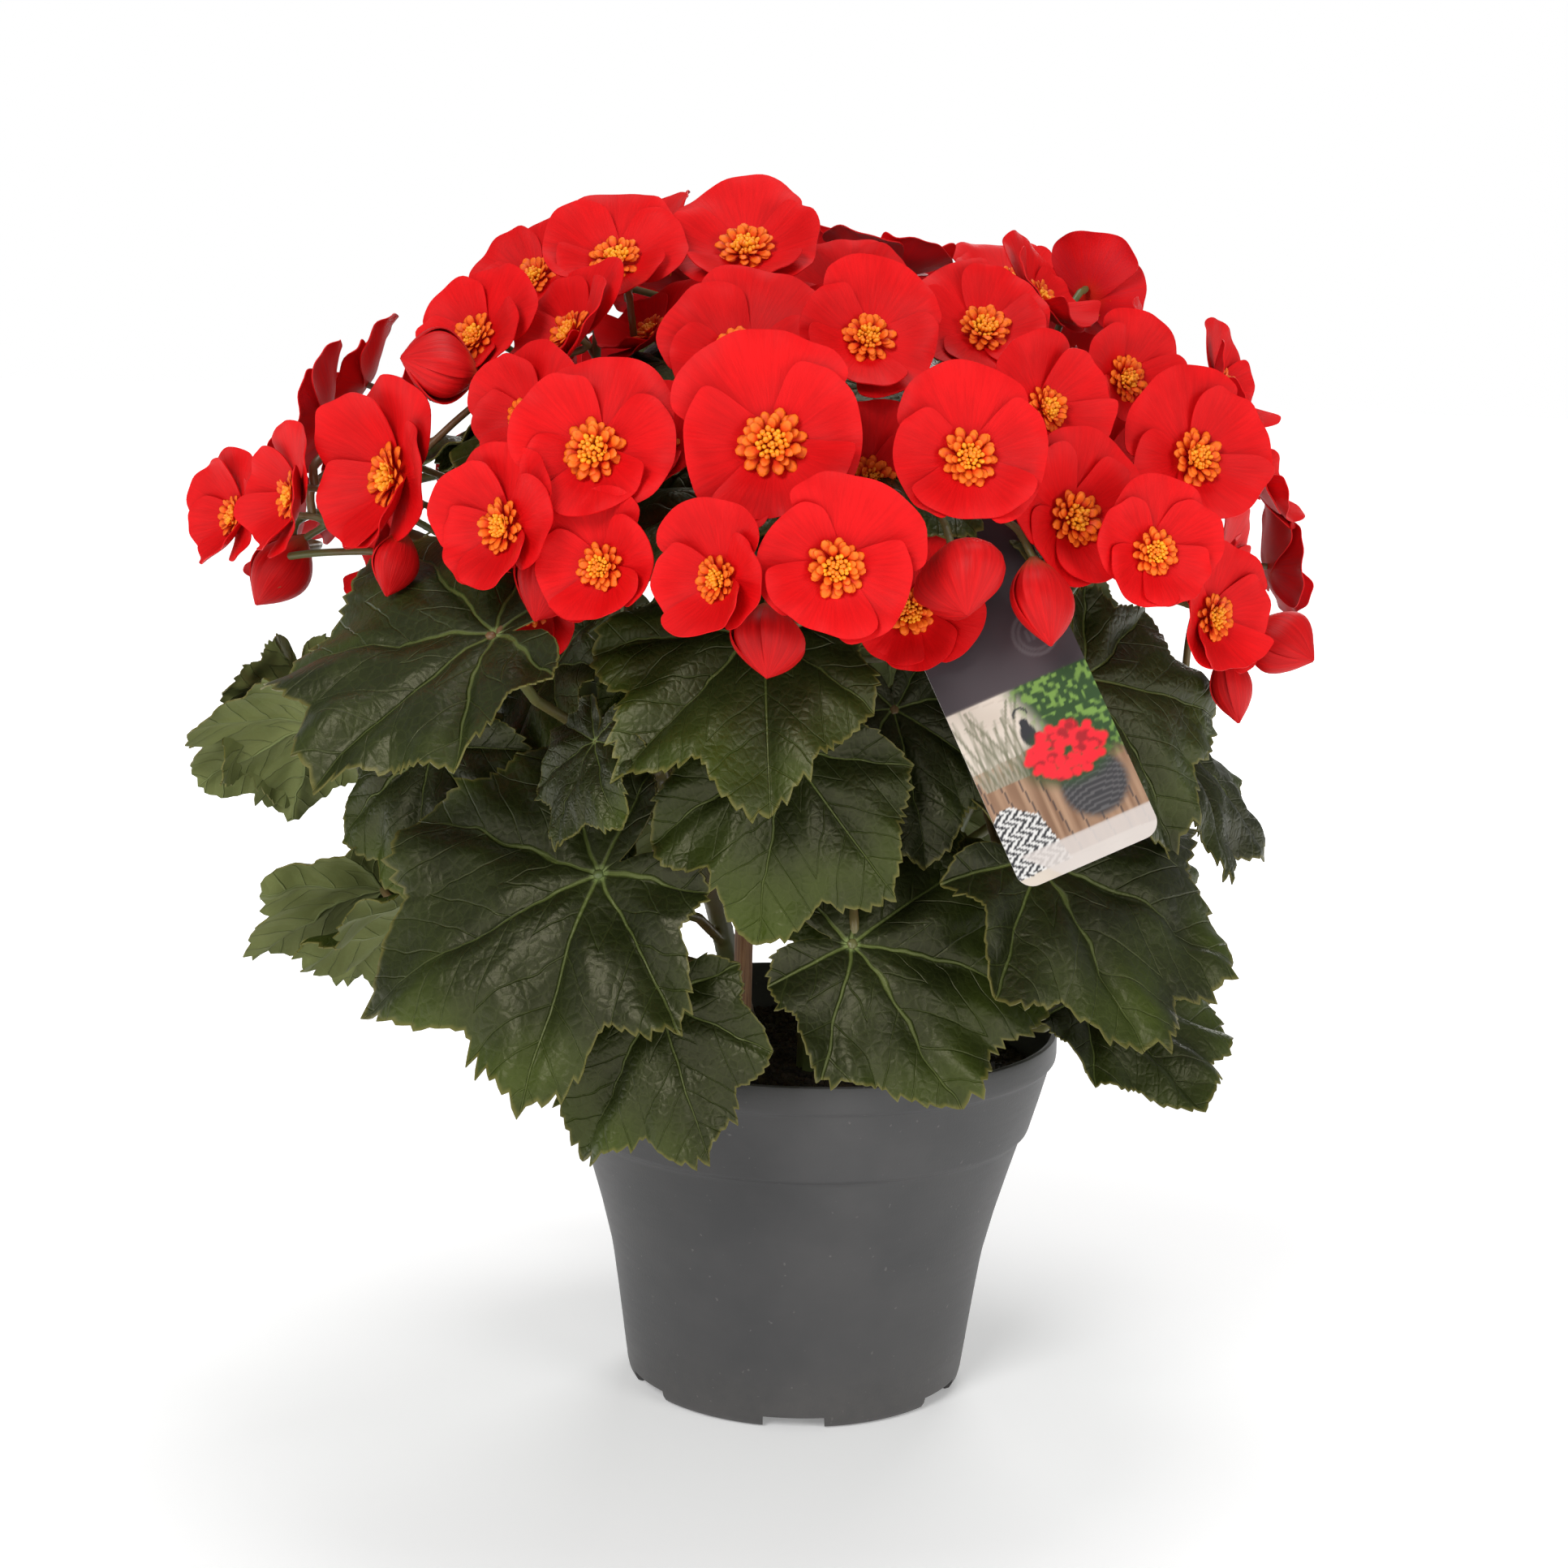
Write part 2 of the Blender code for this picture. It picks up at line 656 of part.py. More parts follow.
def bud_meshes(stem):
    """(mesh, matrix) of each bud that the stem's trusses carry."""
    found = []
    for number, (truss, place, facing, length, width) in enumerate(BUDS, start=1):
        if TRUSSES[truss][0] != stem:
            continue
        shape = bmesh.new()
        bmesh.ops.create_icosphere(shape, subdivisions=1, radius=0.5)
        bmesh.ops.scale(shape, vec=(width * MM, width * MM * BUD_FLATNESS, length * MM), verts=shape.verts)
        mesh = bpy.data.meshes.new(f"bud_{number:02d}")
        shape.to_mesh(mesh)
        shape.free()
        found.append((mesh, facing_matrix(place, facing)))
    return found


def build_stem(stem, parts, materials):
    """(stem, collection of its leaf stalks, flower stalks and buds)"""
    points = stem_points(stem)
    mesh = tube_mesh(f"stem_{stem}", points, tapered(STEM_RADIUS, STEM_TOP_RADIUS, len(points)))
    main = add_object(mesh.name, mesh, parts, materials["stalk"])
    branches = make_collection(f"{stem}_branches")
    for name, route, radii in petiole_shapes(stem) + truss_shapes(stem):
        hide_helper(add_object(name, tube_mesh(name, route, radii), branches))
    for bud, matrix in bud_meshes(stem):
        hide_helper(add_object(bud.name, bud, branches)).matrix_world = matrix
    smooth(main, SHEET_SMOOTH_ANGLE)
    return main, branches


def unite(main, branches):
    """Makes the stem and what it carries one body."""
    union = main.modifiers.new("branches", "BOOLEAN")
    union.operation = "UNION"
    union.operand_type = "COLLECTION"
    union.collection = branches


def build_begonia():
    clear_scene()
    parts = make_collection("potted_begonia")
    cutters = make_collection("cutters")
    materials = {name: make_material(name) for name in COLOURS}
    stems = [build_stem(stem, parts, materials) for stem in STEMS]
    for main, branches in stems:
        unite(main, branches)
    build_pot(parts, cutters, materials)
    build_growing_mix(parts, cutters, materials)
    build_canes(parts, materials)
    build_label(parts, materials)
    build_leaves(parts, materials)
    build_flowers(parts, materials)


build_begonia()
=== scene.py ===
# Potted begonia: leaves, flowers, stems, pot, growing mix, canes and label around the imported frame.
import json
import math
from contextlib import contextmanager

import bmesh
import bpy
import numpy as np
from mathutils import Matrix, Vector

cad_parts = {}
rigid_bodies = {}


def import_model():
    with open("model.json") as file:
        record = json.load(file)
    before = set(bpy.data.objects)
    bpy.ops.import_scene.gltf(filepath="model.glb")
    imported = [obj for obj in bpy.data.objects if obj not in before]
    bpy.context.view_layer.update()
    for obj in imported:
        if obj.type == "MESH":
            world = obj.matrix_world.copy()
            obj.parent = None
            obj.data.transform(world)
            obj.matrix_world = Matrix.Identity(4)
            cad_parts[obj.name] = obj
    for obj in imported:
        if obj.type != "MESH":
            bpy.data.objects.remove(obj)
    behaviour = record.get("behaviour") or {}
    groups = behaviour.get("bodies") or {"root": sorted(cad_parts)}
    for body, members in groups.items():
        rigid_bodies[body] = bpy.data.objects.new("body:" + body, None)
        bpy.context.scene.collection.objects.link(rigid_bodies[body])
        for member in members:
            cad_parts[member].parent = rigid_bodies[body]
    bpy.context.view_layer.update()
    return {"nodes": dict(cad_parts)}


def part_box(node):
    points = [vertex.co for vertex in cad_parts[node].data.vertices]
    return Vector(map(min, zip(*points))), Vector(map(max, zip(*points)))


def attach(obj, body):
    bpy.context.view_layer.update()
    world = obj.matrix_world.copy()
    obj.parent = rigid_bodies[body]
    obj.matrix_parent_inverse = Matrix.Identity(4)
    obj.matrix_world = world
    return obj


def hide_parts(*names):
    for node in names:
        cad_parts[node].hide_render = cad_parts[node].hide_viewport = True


for old in list(bpy.data.objects):
    bpy.data.objects.remove(old)

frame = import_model()
nodes = frame["nodes"]
print("frame loaded:", len(nodes), "nodes")

mm = 0.001
sameSpot = 1e-6  # points nearer than this are one
potLow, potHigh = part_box("pot")
plantFoot = Vector(((potLow.x + potHigh.x) / 2, (potLow.y + potHigh.y) / 2, potLow.z))


def placeAt(x, y, z):
    # millimetres from the middle of the pot's base
    return plantFoot + Vector((x, y, z)) * mm


def facingAxes(azimuth, elevation, turn=0.0):
    # azimuth 0 faces the front, 90 the right; the tip hangs down and turns about the facing direction
    az, el, tn = (math.radians(a) for a in (azimuth, elevation, turn))
    normal = Vector((math.sin(az) * math.cos(el), -math.cos(az) * math.cos(el), math.sin(el)))
    down = Vector((math.sin(az) * math.sin(el), -math.cos(az) * math.sin(el), -math.cos(el)))
    right = normal.cross(down)
    tip = down * math.cos(tn) + right * math.sin(tn)
    return tip.cross(normal), tip, normal


def latticeValue(i, j, seed):
    h = (i * 374761393 + j * 668265263 + seed * 974711) & 0xFFFFFFFF
    h = ((h ^ (h >> 13)) * 1274126177) & 0xFFFFFFFF
    return ((h ^ (h >> 16)) & 0xFFFF) / 65535.0


def softNoise(x, y, seed):
    # smooth value noise, 0 to 1
    x, y = np.asarray(x, float), np.asarray(y, float)
    i, j = np.floor(x).astype(np.int64), np.floor(y).astype(np.int64)
    u, v = x - i, y - j
    u, v = u * u * (3 - 2 * u), v * v * (3 - 2 * v)
    low = latticeValue(i, j, seed) * (1 - u) + latticeValue(i + 1, j, seed) * u
    high = latticeValue(i, j + 1, seed) * (1 - u) + latticeValue(i + 1, j + 1, seed) * u
    return low * (1 - v) + high * v


def smoothStep(low, high, x):
    t = np.clip((np.asarray(x, float) - low) / (high - low), 0, 1)
    return t * t * (3 - 2 * t)


def linked(name, data):
    obj = bpy.data.objects.new(name, data)
    bpy.context.scene.collection.objects.link(obj)
    return obj


def plainObject(name, points, faces, edges=()):
    mesh = bpy.data.meshes.new(name)
    mesh.from_pydata([tuple(p) for p in points], edges, faces)
    mesh.update()
    return linked(name, mesh)


def storeValues(obj, key, values):
    # a number or a vector for each point
    array = np.asarray(values, np.float32)
    kind, field = ("FLOAT", "value") if array.ndim == 1 else ("FLOAT_VECTOR", "vector")
    obj.data.attributes.new(key, kind, "POINT").data.foreach_set(field, array.ravel())


def solidObject(name, points, faces, materials, slots=None, values=None, creases=55):
    obj = plainObject(name, points, faces)
    for material in materials:
        obj.data.materials.append(material)
    if slots is not None:
        obj.data.polygons.foreach_set("material_index", np.asarray(slots, np.int32))
    for key, array in (values or {}).items():
        storeValues(obj, key, array)
    sharpen(obj.data, creases)
    return obj


def ringFaces(rings, sides, start=0):
    # quads between neighbouring rings of points
    faces = []
    for i in range(start, start + (rings - 1) * sides, sides):
        for k in range(sides):
            after = (k + 1) % sides
            faces.append((i + k, i + after, i + sides + after, i + sides + k))
    return faces


def capFaces(rings, sides):
    # flat ends of a stack of rings
    return [tuple(range(sides - 1, -1, -1)), tuple((rings - 1) * sides + k for k in range(sides))]


def gridFaces(columns, rows):
    # quads of a grid of points, and the points along its rim
    wide = columns + 1
    faces = [
        (j * wide + i, j * wide + i + 1, (j + 1) * wide + i + 1, (j + 1) * wide + i)
        for j in range(rows)
        for i in range(columns)
    ]
    rim = list(range(wide)) + [(j + 1) * wide - 1 for j in range(1, rows + 1)]
    rim += [rows * wide + i for i in range(columns - 1, -1, -1)]
    rim += [j * wide for j in range(rows - 1, 0, -1)]
    return faces, rim


def circle(sides, radius, z, deep=None):
    # points about the upright axis, from the right-hand side on
    turns = [2 * math.pi * k / sides for k in range(sides)]
    deep = radius if deep is None else deep
    return [(radius * math.cos(t), deep * math.sin(t), z) for t in turns]


@contextmanager
def editing(mesh):
    bm = bmesh.new()
    bm.from_mesh(mesh)
    yield bm
    bm.to_mesh(mesh)
    bm.free()


def sharpen(mesh, angle):
    # smooth faces with sharp edges past the given angle
    limit = math.radians(angle)
    with editing(mesh) as bm:
        for face in bm.faces:
            face.smooth = True
        for edge in bm.edges:
            edge.smooth = not (len(edge.link_faces) == 2 and edge.calc_face_angle(0.0) > limit)


def thickened(points, faces, rim, thickness):
    # a closed sheet: the given faces on top, their copies below, and a wall round the rim
    points = np.asarray(points, float)
    mesh = bpy.data.meshes.new("sheetTop")
    mesh.from_pydata(points.tolist(), [], faces)
    mesh.update()
    normals = np.empty(len(points) * 3, np.float32)
    mesh.vertex_normals.foreach_get("vector", normals)
    bpy.data.meshes.remove(mesh)
    below = points - normals.reshape(-1, 3) * thickness
    count = len(points)
    under = [tuple(i + count for i in reversed(face)) for face in faces]
    wall = [(b, a, a + count, b + count) for a, b in zip(rim, rim[1:] + rim[:1])]
    kinds = [0] * len(faces) + [1] * len(under) + [0] * len(wall)
    return np.concatenate([points, below]), faces + under + wall, kinds


class Sheets:
    # gathers thin closed sheets into one piece, with each point's place on its own blade or petal
    def __init__(self):
        self.points, self.faces, self.kinds, self.place, self.edges = [], [], [], [], []
        self.count = 0

    def add(self, points, faces, rim, thickness, place, edge):
        points, faces, kinds = thickened(points, faces, rim, thickness)
        self.points.append(points)
        self.faces += [tuple(i + self.count for i in face) for face in faces]
        self.kinds += kinds
        self.place += [place, place]
        self.edges += [edge, edge]
        self.count += len(points)

    def made(self, name, key, materials):
        values = {key: np.concatenate(self.place), "edge": np.concatenate(self.edges)}
        return solidObject(name, np.concatenate(self.points), self.faces, materials, self.kinds, values)


def mergedCopy(node):
    bm = bmesh.new()
    bm.from_mesh(nodes[node].data)
    bmesh.ops.remove_doubles(bm, verts=bm.verts, dist=sameSpot)
    return bm


def hubOf(node):
    # the middle of a leaf or a flower: where most edges meet, on its two faces
    bm = mergedCopy(node)
    corners = sorted(bm.verts, key=lambda v: -len(v.link_edges))
    a, b = corners[0].co.copy(), corners[1].co.copy()
    points = [v.co.copy() for v in bm.verts]
    bm.free()
    centre = sum(points, Vector()) / len(points)
    return (a + b) / 2, (a - b).normalized(), centre, points


def placed(local, origin, axes):
    basis = np.array([tuple(axis) for axis in axes])
    return np.asarray(local) @ basis + np.array(tuple(origin))


def applied(obj):
    # the evaluated object as a plain mesh, with its modifiers gone
    bpy.context.view_layer.update()
    graph = bpy.context.evaluated_depsgraph_get()
    mesh = bpy.data.meshes.new_from_object(obj.evaluated_get(graph), depsgraph=graph)
    obj.modifiers.clear()
    old = obj.data
    obj.data = mesh
    if old.users == 0:
        bpy.data.meshes.remove(old)
    return obj


def finished(obj, slot, *replaced):
    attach(obj, "root")
    if replaced:
        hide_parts(*replaced)
    return obj


class Nodes:
    # adds nodes to one tree; an input takes a value or another node's output
    def __init__(self, tree):
        self.tree = tree

    def add(self, kind, feeds=None, **settings):
        node = self.tree.nodes.new(kind)
        for key, value in settings.items():
            setattr(node, key, value)
        for key, value in (feeds or {}).items():
            self.feed(node.inputs[key], value)
        return node

    def feed(self, socket, value):
        if isinstance(value, bpy.types.NodeSocket):
            self.tree.links.new(value, socket)
        else:
            socket.default_value = value


class Finish(Nodes):
    # one node material
    def __init__(self, name):
        self.material = bpy.data.materials.new(name)
        self.material.use_nodes = True
        super().__init__(self.material.node_tree)
        self.shader = self.tree.nodes["Principled BSDF"]

    def calc(self, operation, *values):
        node = self.add("ShaderNodeMath", operation=operation)
        for i, value in enumerate(values):
            self.feed(node.inputs[i], value)
        return node.outputs[0]

    def times(self, *values):
        return self.calc("MULTIPLY", *values)

    def line(self, value, slope, start):
        # slope times the value, plus the start
        return self.calc("MULTIPLY_ADD", value, slope, start)

    def rest(self, value):
        return self.calc("SUBTRACT", 1.0, value)

    def scaled(self, vector, factors):
        return self.add("ShaderNodeVectorMath", {0: vector, 1: factors}, operation="MULTIPLY").outputs[0]

    def fade(self, value, low, high, atLow=0.0, atHigh=1.0):
        node = self.add("ShaderNodeMapRange", interpolation_type="SMOOTHSTEP")
        for i, item in enumerate((value, low, high, atLow, atHigh)):
            self.feed(node.inputs[i], item)
        return node.outputs[0]

    def blend(self, share, first, second):
        node = self.add("ShaderNodeMix", data_type="RGBA")
        for i, item in zip((0, 6, 7), (share, first, second)):
            if isinstance(item, tuple) and len(item) == 3:
                item = (*item, 1.0)
            self.feed(node.inputs[i], item)
        return node.outputs[2]

    def noise(self, place, scale, detail=2.0, roughness=0.5):
        feeds = {"Vector": place, "Scale": scale, "Detail": detail, "Roughness": roughness}
        return self.add("ShaderNodeTexNoise", feeds).outputs["Fac"]

    def cells(self, place, scale, feature="DISTANCE_TO_EDGE"):
        feeds = {"Vector": place, "Scale": scale}
        return self.add("ShaderNodeTexVoronoi", feeds, feature=feature).outputs["Distance"]

    def attribute(self, name, output="Vector"):
        return self.add("ShaderNodeAttribute", attribute_name=name).outputs[output]

    def objectPlace(self):
        return self.add("ShaderNodeTexCoord").outputs["Object"]

    def split(self, vector):
        return self.add("ShaderNodeSeparateXYZ", {0: vector}).outputs

    def joined(self, *parts):
        return self.add("ShaderNodeCombineXYZ", dict(enumerate(parts))).outputs[0]

    def bump(self, height, distance, strength=1.0, under=None):
        feeds = {"Height": height, "Distance": distance, "Strength": strength}
        if under is not None:
            feeds["Normal"] = under
        return self.add("ShaderNodeBump", feeds).outputs["Normal"]

    def finish(self, colour, rough, normal=None, shine=0.5, **more):
        feeds = {"Base Color": colour, "Roughness": rough, "Specular IOR Level": shine}
        if normal is not None:
            feeds["Normal"] = normal
        feeds.update((key.replace("_", " "), value) for key, value in more.items())
        for key, value in feeds.items():
            if isinstance(value, tuple) and len(value) == 3:
                value = (*value, 1.0)
            self.feed(self.shader.inputs[key], value)
        return self.material


leafColours = {
    "shade": (0.0085, 0.0118, 0.0025),
    "light": (0.0205, 0.0290, 0.0042),
    "margin": (0.0580, 0.0880, 0.0060),
    "vein": (0.1150, 0.1450, 0.0350),
    "edge": (0.1700, 0.1500, 0.0350),
    "under": (0.190, 0.210, 0.070),
    "underShade": (0.100, 0.120, 0.036),
    "sheen": (1.0, 0.93, 0.66),
}
lobeStep = math.radians(47)


def veinPattern(f):
    # main veins run from the stalk to each lobe; side veins branch off at a slant; a fine net fills in
    spread = f.attribute("bladePlace")
    wander = f.noise(spread, 3.2, 2.0)
    x, y, _ = f.split(spread)
    wander = f.times(f.calc("SUBTRACT", wander, 0.5), 0.10)
    x = f.calc("ADD", x, wander)
    y = f.calc("SUBTRACT", y, wander)
    angle = f.calc("ARCTAN2", x, y)
    radius = f.calc("SQRT", f.calc("ADD", f.times(x, x), f.times(y, y)))
    inLobe = f.calc("WRAP", angle, lobeStep / 2, -lobeStep / 2)
    along = f.times(radius, f.calc("COSINE", inLobe))
    across = f.calc("ABSOLUTE", f.times(radius, f.calc("SINE", inLobe)))
    width = f.line(radius, -0.007, 0.012)
    main = f.rest(f.fade(f.calc("DIVIDE", across, width), 0.35, 1.25))
    branch = f.calc("DIVIDE", f.line(across, -1.05, along), 0.19)
    gap = f.calc("PINGPONG", branch, 0.5)
    side = f.rest(f.fade(gap, 0.005, 0.045))
    side = f.times(side, f.fade(radius, 0.12, 0.3))
    net = f.cells(spread, 19.0)
    fine = f.rest(f.fade(net, 0.0, 0.10))
    pillow = f.times(f.calc("POWER", gap, 0.5), f.fade(across, 0.0, 0.05))
    return spread, radius, main, side, fine, pillow, net


def leafUpper():
    f = Finish("leafGloss")
    spread, radius, main, side, fine, pillow, net = veinPattern(f)
    tone = f.split(spread)[2]
    place = f.objectPlace()
    cloud = f.noise(place, 38.0, 4.0, 0.6)
    patch = f.calc("ADD", f.times(cloud, 0.7), f.times(tone, 0.5))
    colour = f.blend(f.fade(patch, 0.3, 0.9), leafColours["shade"], leafColours["light"])
    outer = f.times(f.fade(radius, 0.40, 1.05), f.fade(f.noise(place, 24.0, 2.0), 0.30, 0.68))
    colour = f.blend(f.times(outer, 0.62), colour, leafColours["margin"])
    colour = f.blend(f.times(fine, 0.06), colour, leafColours["vein"])
    colour = f.blend(f.times(side, 0.13), colour, leafColours["vein"])
    lit = f.line(radius, -0.55, 0.72)
    colour = f.blend(f.times(main, lit), colour, leafColours["vein"])
    hub = f.rest(f.fade(radius, 0.018, 0.05))
    colour = f.blend(hub, colour, (0.21, 0.27, 0.09))
    edge = f.attribute("edge", "Fac")
    colour = f.blend(f.times(f.fade(edge, 0.55, 1.0), 0.55), colour, leafColours["edge"])
    height = f.line(f.calc("MAXIMUM", main, f.times(side, 0.5)), -0.8, f.times(pillow, 0.35))
    height = f.calc("ADD", height, f.times(f.calc("MINIMUM", net, 0.25), 0.5))
    normal = f.bump(height, 0.0011, 0.75)
    wrinkle = f.noise(place, 210.0, 4.0, 0.6)
    normal = f.bump(wrinkle, 0.0008, 0.5, normal)
    rough = f.line(cloud, 0.18, 0.33)
    return f.finish(colour, rough, normal, 0.38, Specular_Tint=leafColours["sheen"])


def leafUnder():
    f = Finish("leafUnderside")
    _, _, main, side, fine, pillow, _ = veinPattern(f)
    cloud = f.noise(f.objectPlace(), 45.0, 3.0)
    colour = f.blend(cloud, leafColours["underShade"], leafColours["under"])
    ribs = f.calc("MAXIMUM", main, f.times(side, 0.7))
    colour = f.blend(f.times(ribs, 0.6), colour, (0.20, 0.24, 0.09))
    colour = f.blend(f.times(fine, 0.2), colour, (0.17, 0.22, 0.08))
    normal = f.bump(f.line(pillow, -0.8, ribs), 0.0010, 0.7)
    rough = f.line(cloud, 0.15, 0.52)
    return f.finish(colour, rough, normal, 0.3, Specular_Tint=leafColours["sheen"])


petalColours = {
    "heart": (0.680, 0.030, 0.0020),
    "deep": (0.500, 0.0010, 0.0020),
    "bright": (0.730, 0.0028, 0.0045),
    "margin": (0.700, 0.0070, 0.0090),
    "back": (0.540, 0.0100, 0.0160),
}


def petalFace(name, back=False):
    # petalPlace holds angle across the petal, distance from its base and the petal's own number
    f = Finish(name)
    across, along, own = f.split(f.attribute("petalPlace"))
    streakPlace = f.joined(f.times(across, 13.0), f.times(along, 1.4), own)
    streak = f.noise(streakPlace, 1.6, 3.0, 0.6)
    fineStreak = f.noise(f.scaled(streakPlace, (3.2, 1.0, 1.0)), 2.0, 2.0)
    cloud = f.noise(f.objectPlace(), 55.0, 2.0)
    mixed = f.calc("ADD", f.times(streak, 0.55), f.times(cloud, 0.55))
    first, low, high = ("back", 0.3, 0.8) if back else ("deep", 0.25, 0.85)
    colour = f.blend(f.fade(mixed, low, high), petalColours[first], petalColours["bright"])
    heart = f.rest(f.fade(along, 0.10, 0.42))
    colour = f.blend(f.times(heart, 0.45), colour, petalColours["heart"])
    edge = f.fade(f.attribute("edge", "Fac"), 0.55, 1.0)
    colour = f.blend(f.times(edge, 0.30), colour, petalColours["margin"])
    height = f.line(fineStreak, 0.5, streak)
    normal = f.bump(height, 0.0005, 0.22)
    grain = f.cells(f.objectPlace(), 2600.0, "F1")
    normal = f.bump(grain, 0.00006, 0.30, normal)
    rough = f.line(cloud, 0.10, 0.50)
    return f.finish(colour, rough, normal, 0.14)


def stamenGold():
    f = Finish("stamenGold")
    place = f.objectPlace()
    tone = f.noise(place, 420.0, 2.0)
    colour = f.blend(f.fade(tone, 0.35, 0.65), (0.88, 0.21, 0.004), (0.94, 0.40, 0.008))
    normal = f.bump(f.noise(place, 1800.0, 2.0), 0.0002, 0.5)
    return f.finish(colour, f.line(tone, 0.2, 0.45), normal)


def petaloidOrange():
    f = Finish("petaloidOrange")
    place = f.objectPlace()
    height = f.attribute("height", "Fac")
    tone = f.calc("ADD", f.times(f.noise(place, 420.0, 2.0), 0.6), f.times(height, 0.75))
    colour = f.blend(f.fade(tone, 0.45, 1.05), (0.70, 0.022, 0.004), (0.90, 0.165, 0.007))
    normal = f.bump(f.noise(place, 1500.0, 2.0), 0.0002, 0.4)
    return f.finish(colour, 0.5, normal, 0.25)


def budRed():
    f = Finish("budRed")
    across, along, own = f.split(f.attribute("petalPlace"))
    streak = f.noise(f.joined(f.times(across, 9.0), along, own), 1.8, 3.0, 0.6)
    colour = f.blend(f.fade(streak, 0.3, 0.75), (0.46, 0.003, 0.004), (0.62, 0.005, 0.006))
    green = f.times(f.rest(f.fade(along, 0.02, 0.30)), 0.55)
    colour = f.blend(green, colour, (0.16, 0.12, 0.04))
    normal = f.bump(streak, 0.0006, 0.4)
    rough = f.line(streak, 0.14, 0.42)
    return f.finish(colour, rough, normal, 0.15)


def stalkGreen():
    f = Finish("stalkGreen")
    place = f.objectPlace()
    broad = f.noise(place, 26.0, 3.0)
    streak = f.noise(f.scaled(place, (1.0, 1.0, 0.22)), 420.0, 3.0)
    colour = f.blend(f.fade(broad, 0.35, 0.65), (0.075, 0.115, 0.030), (0.150, 0.060, 0.026))
    colour = f.blend(f.times(streak, 0.35), colour, (0.20, 0.20, 0.07))
    normal = f.bump(streak, 0.0004, 0.4)
    rough = f.line(streak, 0.15, 0.34)
    return f.finish(colour, rough, normal)


def potPlastic():
    f = Finish("potPlastic")
    place = f.objectPlace()
    z = f.split(place)[2]
    cloud = f.noise(place, 14.0, 4.0, 0.6)
    dust = f.noise(place, 210.0, 3.0, 0.65)
    scuff = f.noise(f.scaled(place, (1.0, 1.0, 7.0)), 90.0, 3.0)
    colour = f.blend(f.fade(cloud, 0.3, 0.7), (0.050, 0.050, 0.051), (0.072, 0.070, 0.070))
    low = f.rest(f.fade(z, 0.0, 0.030))
    colour = f.blend(f.times(f.times(low, dust), 0.30), colour, (0.15, 0.135, 0.12))
    specks = f.fade(f.noise(place, 520.0, 1.0), 0.74, 0.80)
    colour = f.blend(f.times(specks, 0.35), colour, (0.20, 0.19, 0.18))
    normal = f.bump(f.noise(place, 1500.0, 2.0), 0.00012, 0.5)
    normal = f.bump(scuff, 0.00012, 0.25, normal)
    rough = f.line(cloud, 0.16, f.line(scuff, 0.10, 0.36))
    return f.finish(colour, rough, normal, 0.4)


def mixPeat(name, scale):
    f = Finish(name)
    place = f.objectPlace()
    tone = f.noise(place, scale, 3.0, 0.6)
    colour = f.blend(f.fade(tone, 0.35, 0.68), (0.012, 0.008, 0.006), (0.062, 0.038, 0.024))
    normal = f.bump(f.noise(place, 1400.0, 3.0, 0.7), 0.0006, 0.8)
    return f.finish(colour, f.line(tone, 0.1, 0.82), normal)


def caneWood(name, dull, clear):
    f = Finish(name)
    place = f.objectPlace()
    fibre = f.noise(f.scaled(place, (1.0, 1.0, 0.035)), 1500.0, 3.0, 0.65)
    broad = f.noise(f.scaled(place, (1.0, 1.0, 0.3)), 150.0, 3.0)
    colour = f.blend(f.fade(fibre, 0.3, 0.7), dull, clear)
    colour = f.blend(f.times(f.fade(broad, 0.5, 0.8), 0.4), colour, (0.05, 0.022, 0.012))
    normal = f.bump(fibre, 0.0005, 0.55)
    return f.finish(colour, f.line(fibre, 0.2, 0.48), normal)


def cardPrint():
    f = Finish("cardPrint")
    colour = f.attribute("cardPicture", "Color")
    place = f.objectPlace()
    haze = f.noise(place, 70.0, 2.0)
    normal = f.bump(f.noise(place, 2500.0, 2.0), 0.00004, 0.3)
    return f.finish(colour, f.line(haze, 0.12, 0.30), normal)


leafFinishes = [leafUpper(), leafUnder()]
petalFinishes = [petalFace("petalScarlet"), petalFace("petalUnderside", back=True)]
goldFinish, orangeFinish, budFinish = stamenGold(), petaloidOrange(), budRed()
stalkFinish, potFinish = stalkGreen(), potPlastic()
mixFinish, crumbFinish = mixPeat("peatBed", 240.0), mixPeat("peatCrumbs", 170.0)
# two copies of one cane finish: the first is darker, with painted shade for the cane that stands in the shade
# of the leaves
caneFinishes = (
    caneWood("caneDull", (0.085, 0.034, 0.018), (0.190, 0.085, 0.045)),
    caneWood("caneClear", (0.190, 0.080, 0.028), (0.380, 0.190, 0.080)),
)
cardFinish = cardPrint()
print("materials made")


leafStyle = {
    "teeth": 84,
    "rings": (0.05, 0.13, 0.22, 0.32, 0.42, 0.52, 0.62, 0.71, 0.79, 0.86, 0.92, 0.965, 1.0),
    "thickness": 0.0005,
    "tipReach": 1.086,
    "droop": 0.16,
    "roll": 0.22,
    "seed": 700,
}


def lobeOffset(angle):
    # the angle from the middle of its own lobe
    return (angle + lobeStep / 2) % lobeStep - lobeStep / 2


def leafRadius(angle, lean):
    inLobe = np.abs(lobeOffset(angle)) / (lobeStep / 2)
    lobes = (0.70 + 0.30 * np.cos(angle)) * (1.085 - 0.215 * inLobe**1.5) * (1 + lean * np.sin(angle))
    fromBack = np.pi - np.abs(angle)
    return lobes * (1 - 0.75 * np.exp(-((fromBack / math.radians(13)) ** 2)))


ruffles = (5, 9, 17), (0.050, 0.034, 0.018)  # waves round a leaf's edge: how many and how high


